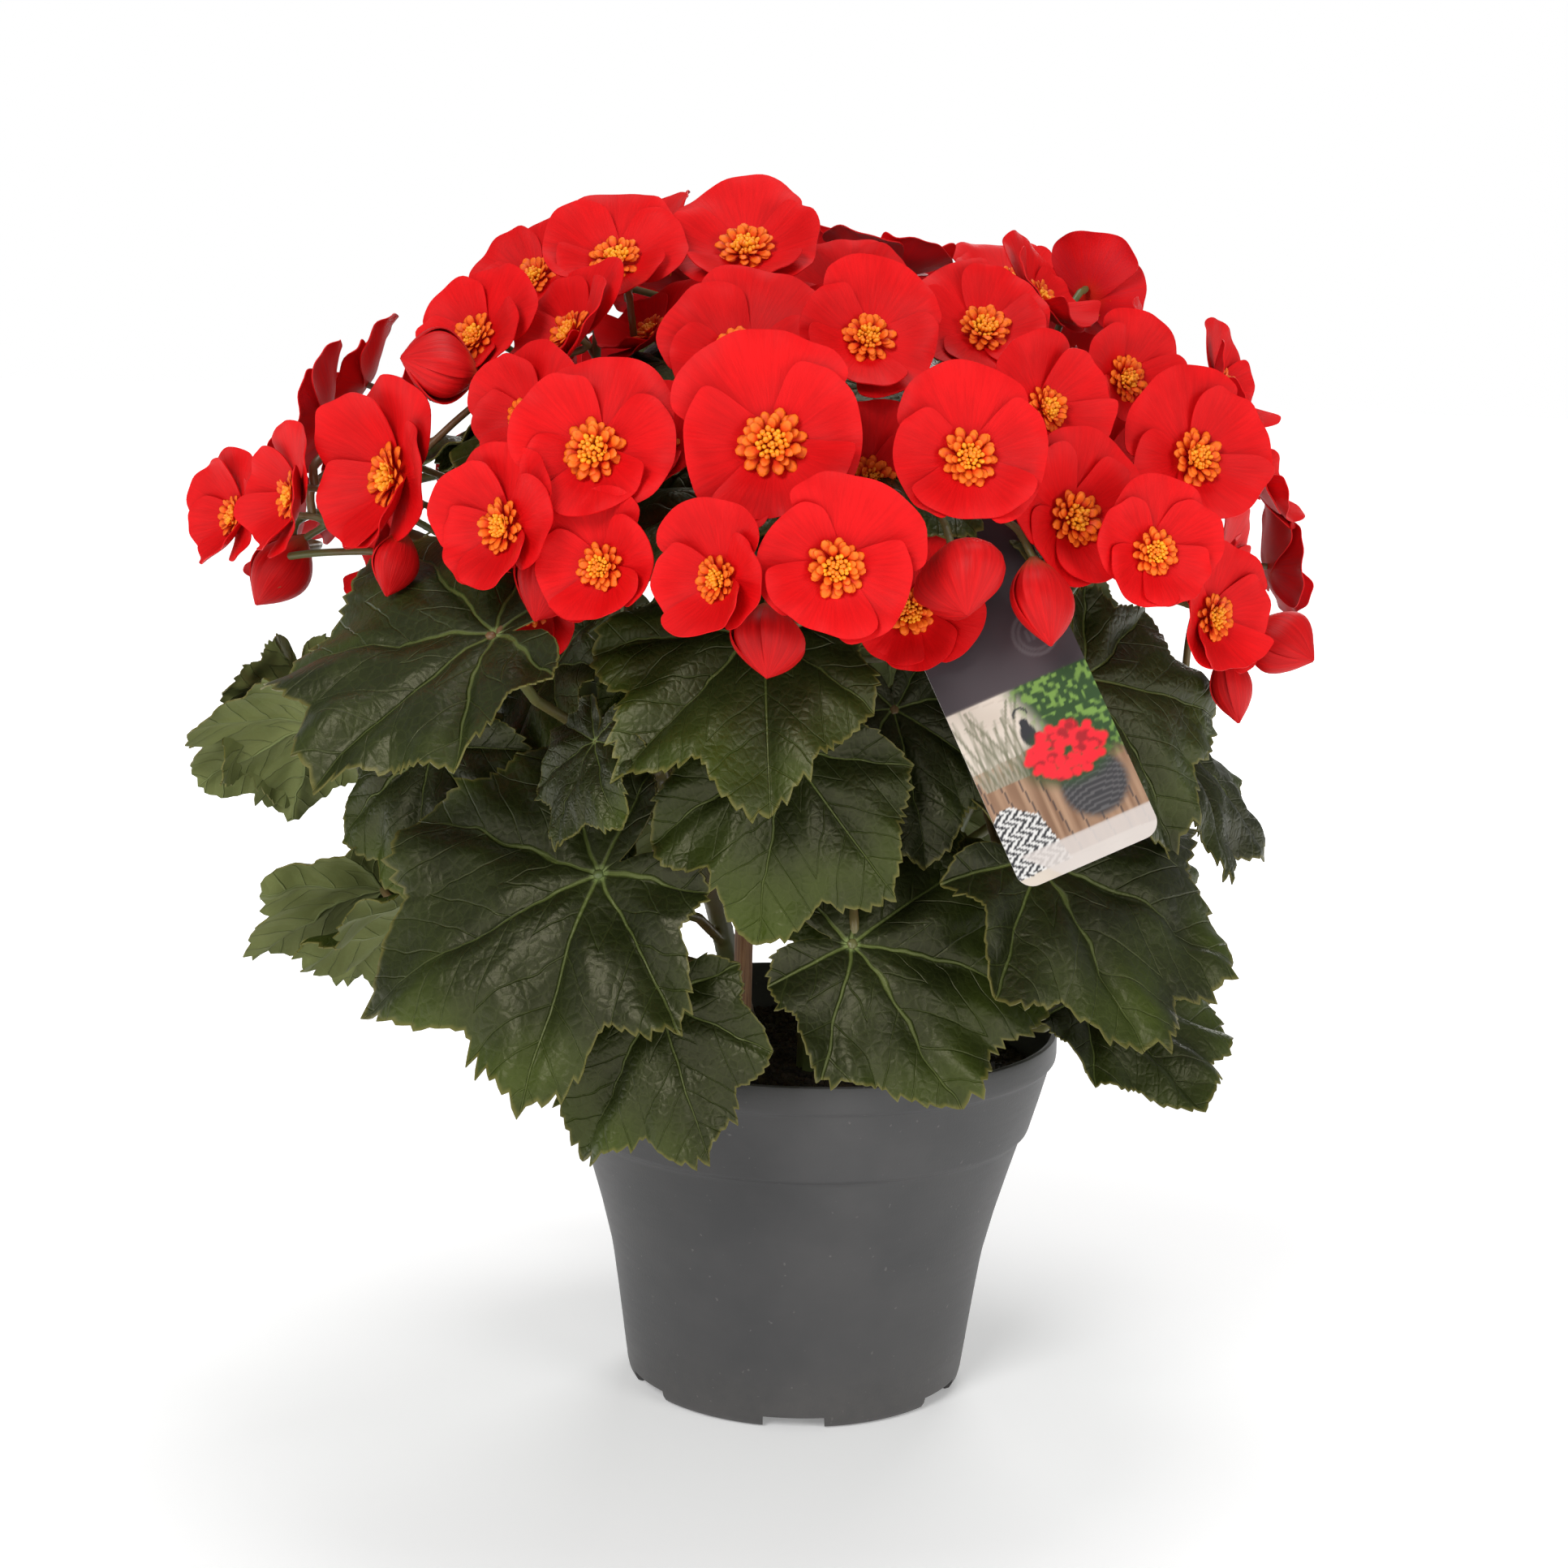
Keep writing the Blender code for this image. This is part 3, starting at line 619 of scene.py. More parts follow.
def leafSheet(size, number, fineness=1.0):
    # local points (x across, y to the tip, z up), faces, rim, spread coordinates and edge values
    rng = np.random.default_rng(leafStyle["seed"] + number)
    teeth = int(leafStyle["teeth"] * fineness)
    around = teeth * 3
    angle = -np.pi + (np.arange(around) + 0.5) * 2 * np.pi / around
    lean = rng.uniform(-0.07, 0.07)
    smooth = leafRadius(angle, lean)
    tooth = np.repeat(rng.uniform(0.004, 0.036, teeth), 3)
    coarse = np.repeat((rng.uniform(0, 1, teeth) < 0.28) * rng.uniform(0.02, 0.065, teeth), 3)
    smooth = smooth * (1 + 0.12 * (softNoise(angle * 3.2 + 30, angle * 0, number) - 0.5))
    step = np.arange(around) % 3
    rising = np.array([0.0, 0.62, 1.0])[step]
    shape = np.where(lobeOffset(angle) < 0, rising, np.array([1.0, 0.62, 0.0])[step])
    toothed = smooth * (1 - 0.012 + (tooth + coarse) * shape)
    rings = leafStyle["rings"]
    wave = rng.uniform(0, 2 * np.pi, 4)
    strength = rng.uniform(0.7, 1.3)
    flat, edge = [(0.0, 0.0)], [0.0]
    for share in rings:
        sway = smoothStep(0.84, 1.0, share) ** 1.5
        reach = (smooth * (1 - sway) + toothed * sway) * share
        flat += list(zip(reach * np.sin(angle), reach * np.cos(angle)))
        edge += [float(smoothStep(0.93, 1.0, share))] * around
    flat = np.array(flat)
    x, y = flat[:, 0], flat[:, 1]
    r, a = np.hypot(x, y), np.arctan2(x, y)
    d = lobeOffset(a)
    across = r * np.abs(np.sin(d))
    z = -leafStyle["droop"] * y * np.abs(y) - leafStyle["roll"] * x * x
    z += 0.042 * (1 - np.exp(-across / 0.06)) * smoothStep(0.0, 0.35, r) * (1 - 0.45 * r)
    z += 0.030 * np.sin(np.clip(across, 0, 1) * 9.0) * smoothStep(0.1, 0.6, r)
    side = np.abs(((r * np.cos(d) - 1.05 * across) / 0.38) % 1.0 - 0.5) * 2
    z += 0.007 * (1 - side**2) * smoothStep(0.02, 0.10, across) * smoothStep(0.12, 0.3, r)
    z += 0.075 * (softNoise(x * 5 + 20, y * 5 + 20, number) - 0.5) * smoothStep(0.0, 0.3, r)
    z += 0.022 * (softNoise(x * 12 + 40, y * 12 + 40, number + 9) - 0.5) * smoothStep(0.05, 0.3, r)
    ruffle = sum(high * np.sin(count * a + start) for count, high, start in zip(*ruffles, wave))
    z += strength * ruffle * smoothStep(0.35, 1.05, r) * (np.abs(a) < 2.9)
    z -= 0.030 * np.exp(-((r / 0.11) ** 2))
    local = np.stack([x, y, z], 1) * size
    faces = [(1 + (k + 1) % around, 1 + k, 0) for k in range(around)] + ringFaces(len(rings), around, 1)
    rim = list(range(1 + (len(rings) - 1) * around, 1 + len(rings) * around))
    tone = np.full(len(x), rng.uniform(0, 1))
    return local, faces, rim, np.stack([x, y, tone], 1), np.array(edge)


def addLeaf(sheets, origin, axes, size, number, fineness=1.0):
    local, faces, rim, spread, edge = leafSheet(size, number, fineness)
    sheets.add(placed(local, origin, axes), faces, rim, leafStyle["thickness"], spread, edge)


leafNodes = sorted(name for name in nodes if name.startswith("leaf_"))
for number, node in enumerate(leafNodes, 1):
    hub, axis, centre, corners = hubOf(node)
    normal = axis if (centre - hub).dot(axis) < 0 else -axis
    tipPoint = max(corners, key=lambda p: (p - hub).length)
    size = (tipPoint - hub).length / leafStyle["tipReach"]
    tip = tipPoint - hub
    tip = (tip - normal * tip.dot(normal)).normalized()
    sheets = Sheets()
    addLeaf(sheets, hub, (tip.cross(normal), tip, normal), size, number)
    finished(sheets.made("leafBlade%02d" % number, "bladePlace", leafFinishes), "leaf", node)
print("leaves made")


# the smaller leaves and flowers fill the gaps between the frame's own, on domes that follow those
def spiralWays(count, lowest, highest):
    # directions spread evenly over a band of a ball, from the top down
    ways = []
    for k in range(count):
        rise = highest - (highest - lowest) * (k + 0.5) / count
        turn = k * math.pi * (3 - math.sqrt(5))
        flat = math.sqrt(1 - rise * rise)
        ways.append(Vector((flat * math.sin(turn), flat * math.cos(turn), rise)))
    return ways


def reachOf(way, middle, known):
    # how far out the known points stand on that side, the nearest in direction counting most
    offsets = [point - middle for point in known]
    weights = [math.exp((way.dot(offset.normalized()) - 1) / 0.05) for offset in offsets]
    return sum(w * offset.length for w, offset in zip(weights, offsets)) / sum(weights)


def fillGaps(known, middle, taken, fill, rng):
    found = []
    for way in spiralWays(fill["tries"], *fill["band"]):
        reach = reachOf(way, middle, known) * fill["share"] * rng.uniform(0.96, 1.02)
        place = middle + way * reach
        if min((place - point).length for point in taken) > fill["apart"]:
            taken.append(place)
            found.append((place, way))
    return found


def azimuthOf(way):
    return math.degrees(math.atan2(way.x, -way.y))


def middleOf(points, drop):
    return Vector((plantFoot.x, plantFoot.y, min(point.z for point in points) - drop))


leafHubs = [hubOf(node)[0] for node in leafNodes]
flowerNodes = sorted(name for name in nodes if name.startswith("flower_"))
flowerHubs = [hubOf(node)[0] for node in flowerNodes]
leafFills = [
    {"known": leafHubs, "drop": -0.045, "face": 32,
     "tries": 90, "band": (-0.15, 0.55), "share": 0.76, "apart": 0.036},
    {"known": flowerHubs, "drop": 0.020, "face": 66,
     "tries": 60, "band": (0.42, 1.0), "share": 0.76, "apart": 0.036},
]
smallLeafStyle = {"fineness": 0.66, "lengths": (42, 48), "jitter": 16, "seed": 41, "stalk": 1.5, "inset": 0.6}
turnedLeaf = {"steps": ((10, -14, -11), (30, -14, -64)), "facing": (-162, 45), "turn": 55, "length": 44}


def placeSmallLeaves():
    rng = np.random.default_rng(smallLeafStyle["seed"])
    taken, found = list(leafHubs), []
    for fill in leafFills:
        middle = middleOf(fill["known"], fill["drop"])
        for place, way in fillGaps(fill["known"], middle, taken, fill, rng):
            length = rng.uniform(*smallLeafStyle["lengths"])
            turn = rng.uniform(-1, 1) * smallLeafStyle["jitter"]
            found.append((place, (azimuthOf(way), fill["face"]), turn, length, way))
    # two at the left edge hang turned over, one below the other
    edge = min(leafHubs, key=lambda hub: hub.x)
    for step in turnedLeaf["steps"]:
        found.append((edge + Vector(step) * mm, turnedLeaf["facing"], turnedLeaf["turn"],
                      turnedLeaf["length"], Vector((-1, 0, 0))))
    return found


def leafRegion(way, place):
    if place.z > max(hub.z for hub in leafHubs):
        return "crown"
    return "front" if way.y < -0.35 else "back" if way.y > 0.35 else "middle"


stalkRuns = []  # where each thin stalk ends, the way it leaves there, and its radius
smallLeafSheets = {}
for number, (place, facing, turn, length, way) in enumerate(placeSmallLeaves(), 101):
    sheets = smallLeafSheets.setdefault(leafRegion(way, place), Sheets())
    axes = facingAxes(*facing, turn)
    addLeaf(sheets, place, axes, length * mm, number, smallLeafStyle["fineness"])
    joint = place - axes[2] * smallLeafStyle["inset"] * mm
    stalkRuns.append((joint, -axes[2] * 0.6 - axes[1] * 0.3, smallLeafStyle["stalk"] * mm))
for region, sheets in smallLeafSheets.items():
    finished(sheets.made(region + "SmallLeaves", "bladePlace", leafFinishes), "leaf")
print("small leaves made:", len(stalkRuns))


flowerStyle = {
    "grid": 16,
    "thickness": 0.00035,
    "eyeDrop": 0.17,
    "seed": 300,
}


def discGrid(count):
    # an even square grid pressed into a disc: points, faces and rim
    line = np.linspace(-1, 1, count + 1)
    u, v = (q.ravel() for q in np.meshgrid(line, line))
    points = np.stack([u * np.sqrt(1 - v * v / 2), v * np.sqrt(1 - u * u / 2)], 1)
    return points, *gridFaces(count, count)


petalGrid = discGrid(flowerStyle["grid"])


def petalSheet(turn, length, halfWidth, cup, size, lift, rng):
    # one petal about the flower's eye, in flower axes (x right, y up, z out)
    disc, faces, rim = petalGrid
    dx, dy = disc[:, 0], disc[:, 1]
    edge = np.hypot(dx, dy)
    notch = softNoise(np.arctan2(dx, dy) * 2.6 + 40, np.full(len(dx), rng.uniform(0, 90)), 3)
    dx, dy = (q * (1 + 0.09 * (notch - 0.5) * edge**4) for q in (dx, dy))
    along = (dy + 1) / 2
    taper = 0.50 + 0.50 * smoothStep(0.0, 0.55, along)
    bow = rng.uniform(-0.05, 0.05)
    x = dx * halfWidth * taper + bow * along**2 * length
    y = (along * 1.10 - 0.10) * length * (1 + 0.02 * np.sin(dx * 3 + rng.uniform(0, 6)))
    rho = np.hypot(x, y) / size
    angle = np.arctan2(x, y)
    wave = rng.uniform(0, 2 * np.pi, 3)
    z = 1.15 * cup * lift * rho**2.1
    z -= 0.085 * edge**4 * smoothStep(0.25, 0.8, along)
    z += 0.110 * dx * dx * smoothStep(0.15, 0.6, along) * (1 - 0.5 * edge**6)
    z += 0.055 * np.sin(4.5 * angle + wave[0]) * smoothStep(0.30, 1.0, edge) * along
    z += 0.022 * np.sin(12 * angle + wave[1]) * smoothStep(0.6, 1.0, edge) * along
    crumple = softNoise(x / size * 3 + wave[2] * 9, y / size * 3, 5) - 0.5
    z += 0.030 * crumple * smoothStep(0.3, 0.8, along)
    local = np.stack([x / size, y / size, z], 1) * size
    c, s = math.cos(turn), math.sin(turn)
    spun = np.stack([local[:, 0] * c + local[:, 1] * s, -local[:, 0] * s + local[:, 1] * c, local[:, 2]], 1)
    return spun, faces, rim, angle, rho, edge


# each kind of flower: its petals' directions in degrees, lengths, half widths and lifts
flowerKinds = [
    ([0, 98, 180, -98], [1.24, 1.00, 0.86, 1.00], [0.93, 0.76, 0.78, 0.76], [0.50, 1.55, 2.40, 1.15]),
    ([0, 74, 146, -146, -76], [1.22, 1.08, 0.88, 0.86, 1.08], [0.86, 0.70, 0.62, 0.60, 0.70],
     [0.45, 1.45, 2.10, 2.50, 1.00]),
]


def addFlower(sheets, eye, axes, size, cup, number):
    rng = np.random.default_rng(flowerStyle["seed"] + number)
    kind = flowerKinds[0 if rng.uniform() < 0.62 else 1]
    roll, mirrored = rng.uniform(-32, 32), rng.choice((-1, 1))
    for turn, length, width, lift in zip(*kind):
        turn = math.radians(turn * mirrored + roll + rng.uniform(-7, 7))
        length *= size * rng.uniform(0.96, 1.03)
        width *= size * rng.uniform(0.92, 1.08)
        lift *= rng.uniform(0.92, 1.12)
        local, faces, rim, angle, rho, edge = petalSheet(turn, length, width, cup, size, lift, rng)
        place = np.stack([angle, rho, np.full(len(rho), rng.uniform(0, 40))], 1)
        sheets.add(placed(local, eye, axes), faces, rim, flowerStyle["thickness"], place, edge)


def uprightAxes(normal):
    up = Vector((0, 0, 1)) - normal * normal.z
    if up.length < 0.2:
        up = Vector((0, 1, 0)) - normal * normal.y
    up.normalize()
    return up.cross(normal), up, normal


def sideways(step, normal):
    return (step - normal * step.dot(normal)).length


eyes = []  # where each flower's stamens sit: place, axes, size
for number, node in enumerate(flowerNodes, 1):
    hub, axis, centre, corners = hubOf(node)
    normal = axis if (centre - hub).dot(axis) > 0 else -axis
    outer = max(corners, key=lambda p: sideways(p - hub, normal))
    size = sideways(outer - hub, normal)
    cup = (outer - hub).dot(normal) / size
    axes = uprightAxes(normal)
    eye = hub - axes[1] * flowerStyle["eyeDrop"] * size
    sheets = Sheets()
    addFlower(sheets, eye, axes, size, cup, number)
    finished(sheets.made("flowerHead%02d" % number, "petalPlace", petalFinishes), "petal", node)
    eyes.append((eye, axes, size))
print("flowers made")

flowerFills = [
    {"tries": 150, "band": (0.13, 1.0), "share": 0.97, "apart": 0.031},
    {"tries": 90, "band": (0.13, 0.92), "share": 0.82, "apart": 0.030},
]
smallFlowerStyle = {"halfWidths": (17, 21), "drop": 0.020, "uprightness": 0.75, "cup": 0.27, "jitter": 12,
                    "seed": 61, "stalk": 1.2, "inset": 0.4}


def placeSmallFlowers():
    rng = np.random.default_rng(smallFlowerStyle["seed"])
    middle = middleOf(flowerHubs, smallFlowerStyle["drop"])
    taken, found = list(flowerHubs), []
    for fill in flowerFills:
        for place, way in fillGaps(flowerHubs, middle, taken, fill, rng):
            rise = math.degrees(math.asin(way.z)) * smallFlowerStyle["uprightness"]
            aside, up = rng.uniform(-1, 1, 2) * smallFlowerStyle["jitter"]
            facing = (azimuthOf(way) + aside, rise + up)
            found.append((place, facing, rng.uniform(*smallFlowerStyle["halfWidths"]), way))
    return found


def flowerRegion(way):
    if way.z > 0.8:
        return "crown"
    return "front" if way.y < -0.4 else "back" if way.y > 0.4 else "side"


smallFlowerSheets = {}
for number, (place, facing, radius, way) in enumerate(placeSmallFlowers(), 61):
    sheets = smallFlowerSheets.setdefault(flowerRegion(way), Sheets())
    axes = uprightAxes(facingAxes(*facing)[2])
    eye = place - axes[1] * flowerStyle["eyeDrop"] * radius * mm
    addFlower(sheets, eye, axes, radius * mm, smallFlowerStyle["cup"], number)
    eyes.append((eye, axes, radius * mm))
    joint = eye - axes[2] * smallFlowerStyle["inset"] * mm
    stalkRuns.append((joint, -axes[2], smallFlowerStyle["stalk"] * mm))
for region, sheets in smallFlowerSheets.items():
    finished(sheets.made(region + "SmallFlowers", "petalPlace", petalFinishes), "petal")
print("small flowers made, flowers in all:", len(eyes))


def startTree(name, inputs):
    tree = bpy.data.node_groups.new(name, "GeometryNodeTree")
    for label, kind in [("Geometry", "Geometry"), *inputs]:
        tree.interface.new_socket(name=label, in_out="INPUT", socket_type="NodeSocket" + kind)
    tree.interface.new_socket(name="Geometry", in_out="OUTPUT", socket_type="NodeSocketGeometry")
    return Nodes(tree), tree.nodes.new("NodeGroupInput").outputs


def endTree(g, geometry, finish):
    real = g.add("GeometryNodeRealizeInstances", {"Geometry": geometry})
    smooth = g.add("GeometryNodeSetShadeSmooth", {"Geometry": real.outputs[0]})
    coated = g.add("GeometryNodeSetMaterial", {"Geometry": smooth.outputs[0], "Material": finish})
    g.add("NodeGroupOutput", {0: coated.outputs[0]})
    return g.tree


def scatterTree():
    # stands a shape on points spread over the faces, turned and sized at random
    g, given = startTree("scatterShapes", [
        ("Shape", "Object"), ("Spacing", "Float"), ("Density", "Float"), ("Smallest", "Float"),
        ("Largest", "Float"), ("Tilt", "Float"), ("Seed", "Int"), ("Finish", "Material"),
    ])
    spread = g.add("GeometryNodeDistributePointsOnFaces", {
        "Mesh": given["Geometry"], "Seed": given["Seed"], "Distance Min": given["Spacing"],
        "Density Max": given["Density"]}, distribute_method="POISSON")
    shape = g.add("GeometryNodeObjectInfo", {"Object": given["Shape"]})
    size = g.add("FunctionNodeRandomValue", {"Seed": 5, 2: given["Smallest"], 3: given["Largest"]})
    lower = g.add("ShaderNodeMath", {0: given["Tilt"], 1: -1.0}, operation="MULTIPLY")
    turns = [
        g.add("FunctionNodeRandomValue", {"Seed": seed, 2: lower.outputs[0], 3: given["Tilt"]}).outputs[1]
        for seed in (11, 12, 13)
    ]
    euler = g.add("ShaderNodeCombineXYZ", dict(enumerate(turns)))
    own = g.add("FunctionNodeEulerToRotation", {0: euler.outputs[0]})
    stand = g.add("GeometryNodeInstanceOnPoints", {
        "Points": spread.outputs["Points"], "Instance": shape.outputs["Geometry"],
        "Rotation": own.outputs[0], "Scale": size.outputs[1]})
    return endTree(g, stand.outputs[0], given["Finish"])


def standTree():
    # stands a shape on every point, turned and sized as the point says
    g, given = startTree("standShapes", [
        ("Shape", "Object"), ("Smallest", "Float"), ("Largest", "Float"), ("Seed", "Int"),
        ("Finish", "Material")])
    shape = g.add("GeometryNodeObjectInfo", {"Object": given["Shape"]})
    turn = g.add("GeometryNodeInputNamedAttribute", {"Name": "turn"}, data_type="FLOAT_VECTOR")
    own = g.add("FunctionNodeEulerToRotation", {0: turn.outputs[0]})
    grow = g.add("GeometryNodeInputNamedAttribute", {"Name": "grow"}, data_type="FLOAT")
    vary = g.add("FunctionNodeRandomValue", {
        2: given["Smallest"], 3: given["Largest"], "Seed": given["Seed"]})
    size = g.add("ShaderNodeMath", {0: grow.outputs[0], 1: vary.outputs[1]}, operation="MULTIPLY")
    stand = g.add("GeometryNodeInstanceOnPoints", {
        "Points": given["Geometry"], "Instance": shape.outputs["Geometry"],
        "Rotation": own.outputs[0], "Scale": size.outputs[0]})
    return endTree(g, stand.outputs[0], given["Finish"])


def stalkTree():
    # turns drawn runs of edges into tapering round stalks
    g, given = startTree("roundStalks", [("Step", "Float"), ("Sides", "Int"), ("Finish", "Material")])
    lines = g.add("GeometryNodeMeshToCurve", {"Mesh": given["Geometry"]})
    bent = g.add("GeometryNodeCurveSplineType", {"Curve": lines.outputs[0]}, spline_type="CATMULL_ROM")
    even = g.add(
        "GeometryNodeResampleCurve", {"Curve": bent.outputs[0], "Length": given["Step"]}, mode="LENGTH")
    thick = g.add("GeometryNodeInputNamedAttribute", {"Name": "thick"}, data_type="FLOAT")
    ring = g.add("GeometryNodeCurvePrimitiveCircle", {"Resolution": given["Sides"], "Radius": 1.0})
    tube = g.add("GeometryNodeCurveToMesh", {
        "Curve": even.outputs[0], "Profile Curve": ring.outputs[0],
        "Scale": thick.outputs[0], "Fill Caps": True})
    return endTree(g, tube.outputs[0], given["Finish"])


def runTree(obj, tree, settings):
    modifier = obj.modifiers.new("shape", "NODES")
    modifier.node_group = tree
    for item in tree.interface.items_tree:
        if item.item_type == "SOCKET" and item.in_out == "INPUT" and item.name in settings:
            modifier[item.identifier] = settings[item.name]
    return applied(obj)


def helperShape(name, rings, sides):
    # a little turned shape: height, width, depth and shift of each ring in millimetres
    points, heights = [], []
    for height, wide, deep, shift in rings:
        points += [(x, y + shift, z) for x, y, z in circle(sides, wide, height, deep)]
        heights += [height / rings[-1][0]] * sides
    faces = ringFaces(len(rings), sides) + capFaces(len(rings), sides)
    helper = plainObject(name, [Vector(p) * mm for p in points], faces)
    storeValues(helper, "height", heights)
    return helper


def eyePoints(name, rings, seed):
    # points leaning outwards about each flower's eye: each ring's reach, height, lean and count
    rng = np.random.default_rng(seed)
    points, turns, sizes = [], [], []
    for eye, axes, size in eyes:
        for reach, height, lean, count in rings:
            first = rng.uniform(0, 2 * np.pi)
            for k in range(count):
                t = first + 2 * np.pi * (k + rng.uniform(-0.25, 0.25)) / count
                lift = height + rng.uniform(-0.015, 0.015)
                angle = math.radians(lean + rng.uniform(-15, 15))
                outwards = axes[0] * math.sin(t) + axes[1] * math.cos(t)
                upwards = axes[2] * math.cos(angle) + outwards * math.sin(angle)
                side = outwards.cross(axes[2])
                points.append(eye + (outwards * reach + axes[2] * lift) * size)
                turns.append(tuple(Matrix((side, upwards.cross(side), upwards)).transposed().to_euler()))
                sizes.append(size / eyeStyle["typicalSize"])
    obj = plainObject(name, points, [])
    storeValues(obj, "turn", turns)
    storeValues(obj, "grow", sizes)
    return obj


scatter, stand, stalks = scatterTree(), standTree(), stalkTree()

eyeStyle = {
    "typicalSize": 0.022,
    "clubs": [(0.0, 0.115, 0, 1), (0.04, 0.112, 8, 6), (0.08, 0.10, 16, 11), (0.115, 0.09, 28, 15)],
    "clubShape": [
        (-0.6, 0.28, 0.28, 0), (0.5, 0.36, 0.36, 0), (1.2, 0.62, 0.62, 0), (1.9, 0.66, 0.66, 0),
        (2.4, 0.34, 0.34, 0),
    ],
    "petaloids": [(0.13, 0.085, 32, 9), (0.16, 0.075, 50, 11), (0.185, 0.065, 66, 12)],
    "petaloidShape": [
        (-0.6, 0.45, 0.18, 0), (1.0, 0.8, 0.2, 0.05), (2.6, 1.35, 0.2, 0.1), (3.6, 1.2, 0.17, 0.4),
        (4.3, 0.5, 0.12, 0.9),
    ],
    "sides": 6,
    "sizes": {"Smallest": 0.85, "Largest": 1.2},
}
for name, kind, finish, seed in (
    ("goldStamens", "club", goldFinish, 4),
    ("orangePetaloids", "petaloid", orangeFinish, 9),
):
    shape = helperShape(kind, eyeStyle[kind + "Shape"], eyeStyle["sides"])
    parts = eyePoints(name, eyeStyle[kind + "s"], seed)
    runTree(parts, stand, {"Shape": shape, "Seed": seed, "Finish": finish, **eyeStyle["sizes"]})
    bpy.data.objects.remove(shape)
    finished(parts, "petal")
    print(name, "made:", len(parts.data.polygons), "faces")


stemStyle = {"voxel": 0.0008, "rounds": 3}
stemNodes = sorted(name for name in nodes if name.startswith("stem_"))
for node in stemNodes:
    bm = mergedCopy(node)
    stem = plainObject("fleshyStem" + node.split("_")[1].capitalize(), [], [])
    bm.to_mesh(stem.data)
    bm.free()
    remesh = stem.modifiers.new("remesh", "REMESH")
    remesh.mode = "VOXEL"
    remesh.voxel_size = stemStyle["voxel"]
    remesh.use_smooth_shade = True
    relax = stem.modifiers.new("relax", "SMOOTH")
    relax.factor = 0.5
    relax.iterations = stemStyle["rounds"]
    applied(stem)
    stem.data.materials.clear()
    stem.data.materials.append(stalkFinish)
    finished(stem, "stalk", node)
print("stems made")

# buds: place, the way they point, length, width
buds = [
    ((-112, -84, 337), (-60, 10), 20, 15), ((-124, -92, 280), (-40, -70), 16, 9),
    ((-76, -124, 280), (-30, -60), 22, 14), ((-172, -14, 270), (-80, -55), 22, 13),
    ((-14, -144, 266), (0, -60), 18, 15), ((38, -144, 284), (10, -40), 22, 17),
    ((62, -134, 278), (20, -60), 22, 13), ((142, -62, 260), (60, -25), 18, 14),
    ((128, -60, 246), (60, -75), 18, 9), ((-112, 78, 302), (-125, 0), 20, 13),
    ((52, 132, 292), (160, -20), 20, 13),
]
budStyle = {"petals": 3, "span": 196.0, "across": 14, "along": 16, "thickness": 0.00045, "seed": 50,
            "reach": 1.16, "extraLength": 1.6, "swell": 1.2, "extraWidth": 1.4}


def budPetal(length, width, turn, layer):
    across, along = budStyle["across"], budStyle["along"]
    span = math.radians(budStyle["span"])
    points, place, edges = [], [], []
    for j in range(along + 1):
        v = j / along
        z = (v - 0.5) * length
        swell = math.sin(math.pi * v**1.05) ** 0.85 if 0 < v < 1 else 0.0
        radius = max(width / 2 * swell, 0.0003)
        for i in range(across + 1):
            u = i / across * 2 - 1
            t = turn + u * span / 2
            wide = radius * layer * (1 + 0.05 * abs(u) ** 3) + 0.0002 * math.sin(5 * u + turn * 3)
            wide *= 0.92 + 0.20 * math.cos(2 * t)
            tall = z * (1 + 0.06 * (1 - abs(u) ** 2) * v)
            points.append((wide * math.cos(t), wide * math.sin(t), tall))
            place.append((u, v, turn + layer * 7))
            edges.append(max(abs(u), 2 * v - 1) ** 4)
    return np.array(points), *gridFaces(across, along), np.array(place), np.array(edges)


def makeBuds():
    sheets = Sheets()
    for number, (where, pointing, length, width) in enumerate(buds):
        rng = np.random.default_rng(budStyle["seed"] + number)
        forward = facingAxes(*pointing)[2]
        side = forward.orthogonal().normalized()
        axes = (side, forward.cross(side), forward)
        origin = placeAt(*where)
        length = (length * budStyle["reach"] + budStyle["extraLength"]) * mm
        width = (width * budStyle["swell"] + budStyle["extraWidth"]) * mm
        for k in range(budStyle["petals"]):
            turn = 2 * math.pi * k / budStyle["petals"] + rng.uniform(-0.2, 0.2)
            layer = 1.0 + 0.075 * k
            points, faces, rim, place, edge = budPetal(length, width, turn, layer)
            sheets.add(placed(points, origin, axes), faces, rim, budStyle["thickness"], place, edge)
    return sheets.made("redBuds", "petalPlace", [budFinish, budFinish])


finished(makeBuds(), "petal")
print("buds made")

# stalks of the smaller leaves and flowers, from the nearest stem below each
stemPoints = np.array([tuple(v.co) for node in stemNodes for v in nodes[node].data.vertices])


def drawStalks():
    points, edges, thick = [], [], []
    for end, leave, radius in stalkRuns:
        tip = np.array(tuple(end))
        reachable = stemPoints[stemPoints[:, 2] < tip[2] - 0.010]
        foot = reachable[np.argmin(((reachable - tip) ** 2).sum(1))]
        span = np.linalg.norm(tip - foot)
        bend = tip + np.array(tuple(leave.normalized())) * span * 0.35
        rise = foot + np.array([0, 0, 1.0]) * span * 0.30
        run = [foot, foot * 0.35 + rise * 0.65, (rise + bend) / 2, bend * 0.75 + tip * 0.25, tip]
        start = len(points)
        points += run
        edges += [(start + i, start + i + 1) for i in range(len(run) - 1)]
        thick += [radius * 1.25, radius * 1.1, radius, radius * 0.95, radius * 0.9]
    obj = plainObject("thinStalks", points, [], edges)
    storeValues(obj, "thick", thick)
    return obj


thinStalks = runTree(drawStalks(), stalks, {"Step": 0.0025, "Sides": 10, "Finish": stalkFinish})
finished(thinStalks, "stalk")
print("stalks made")


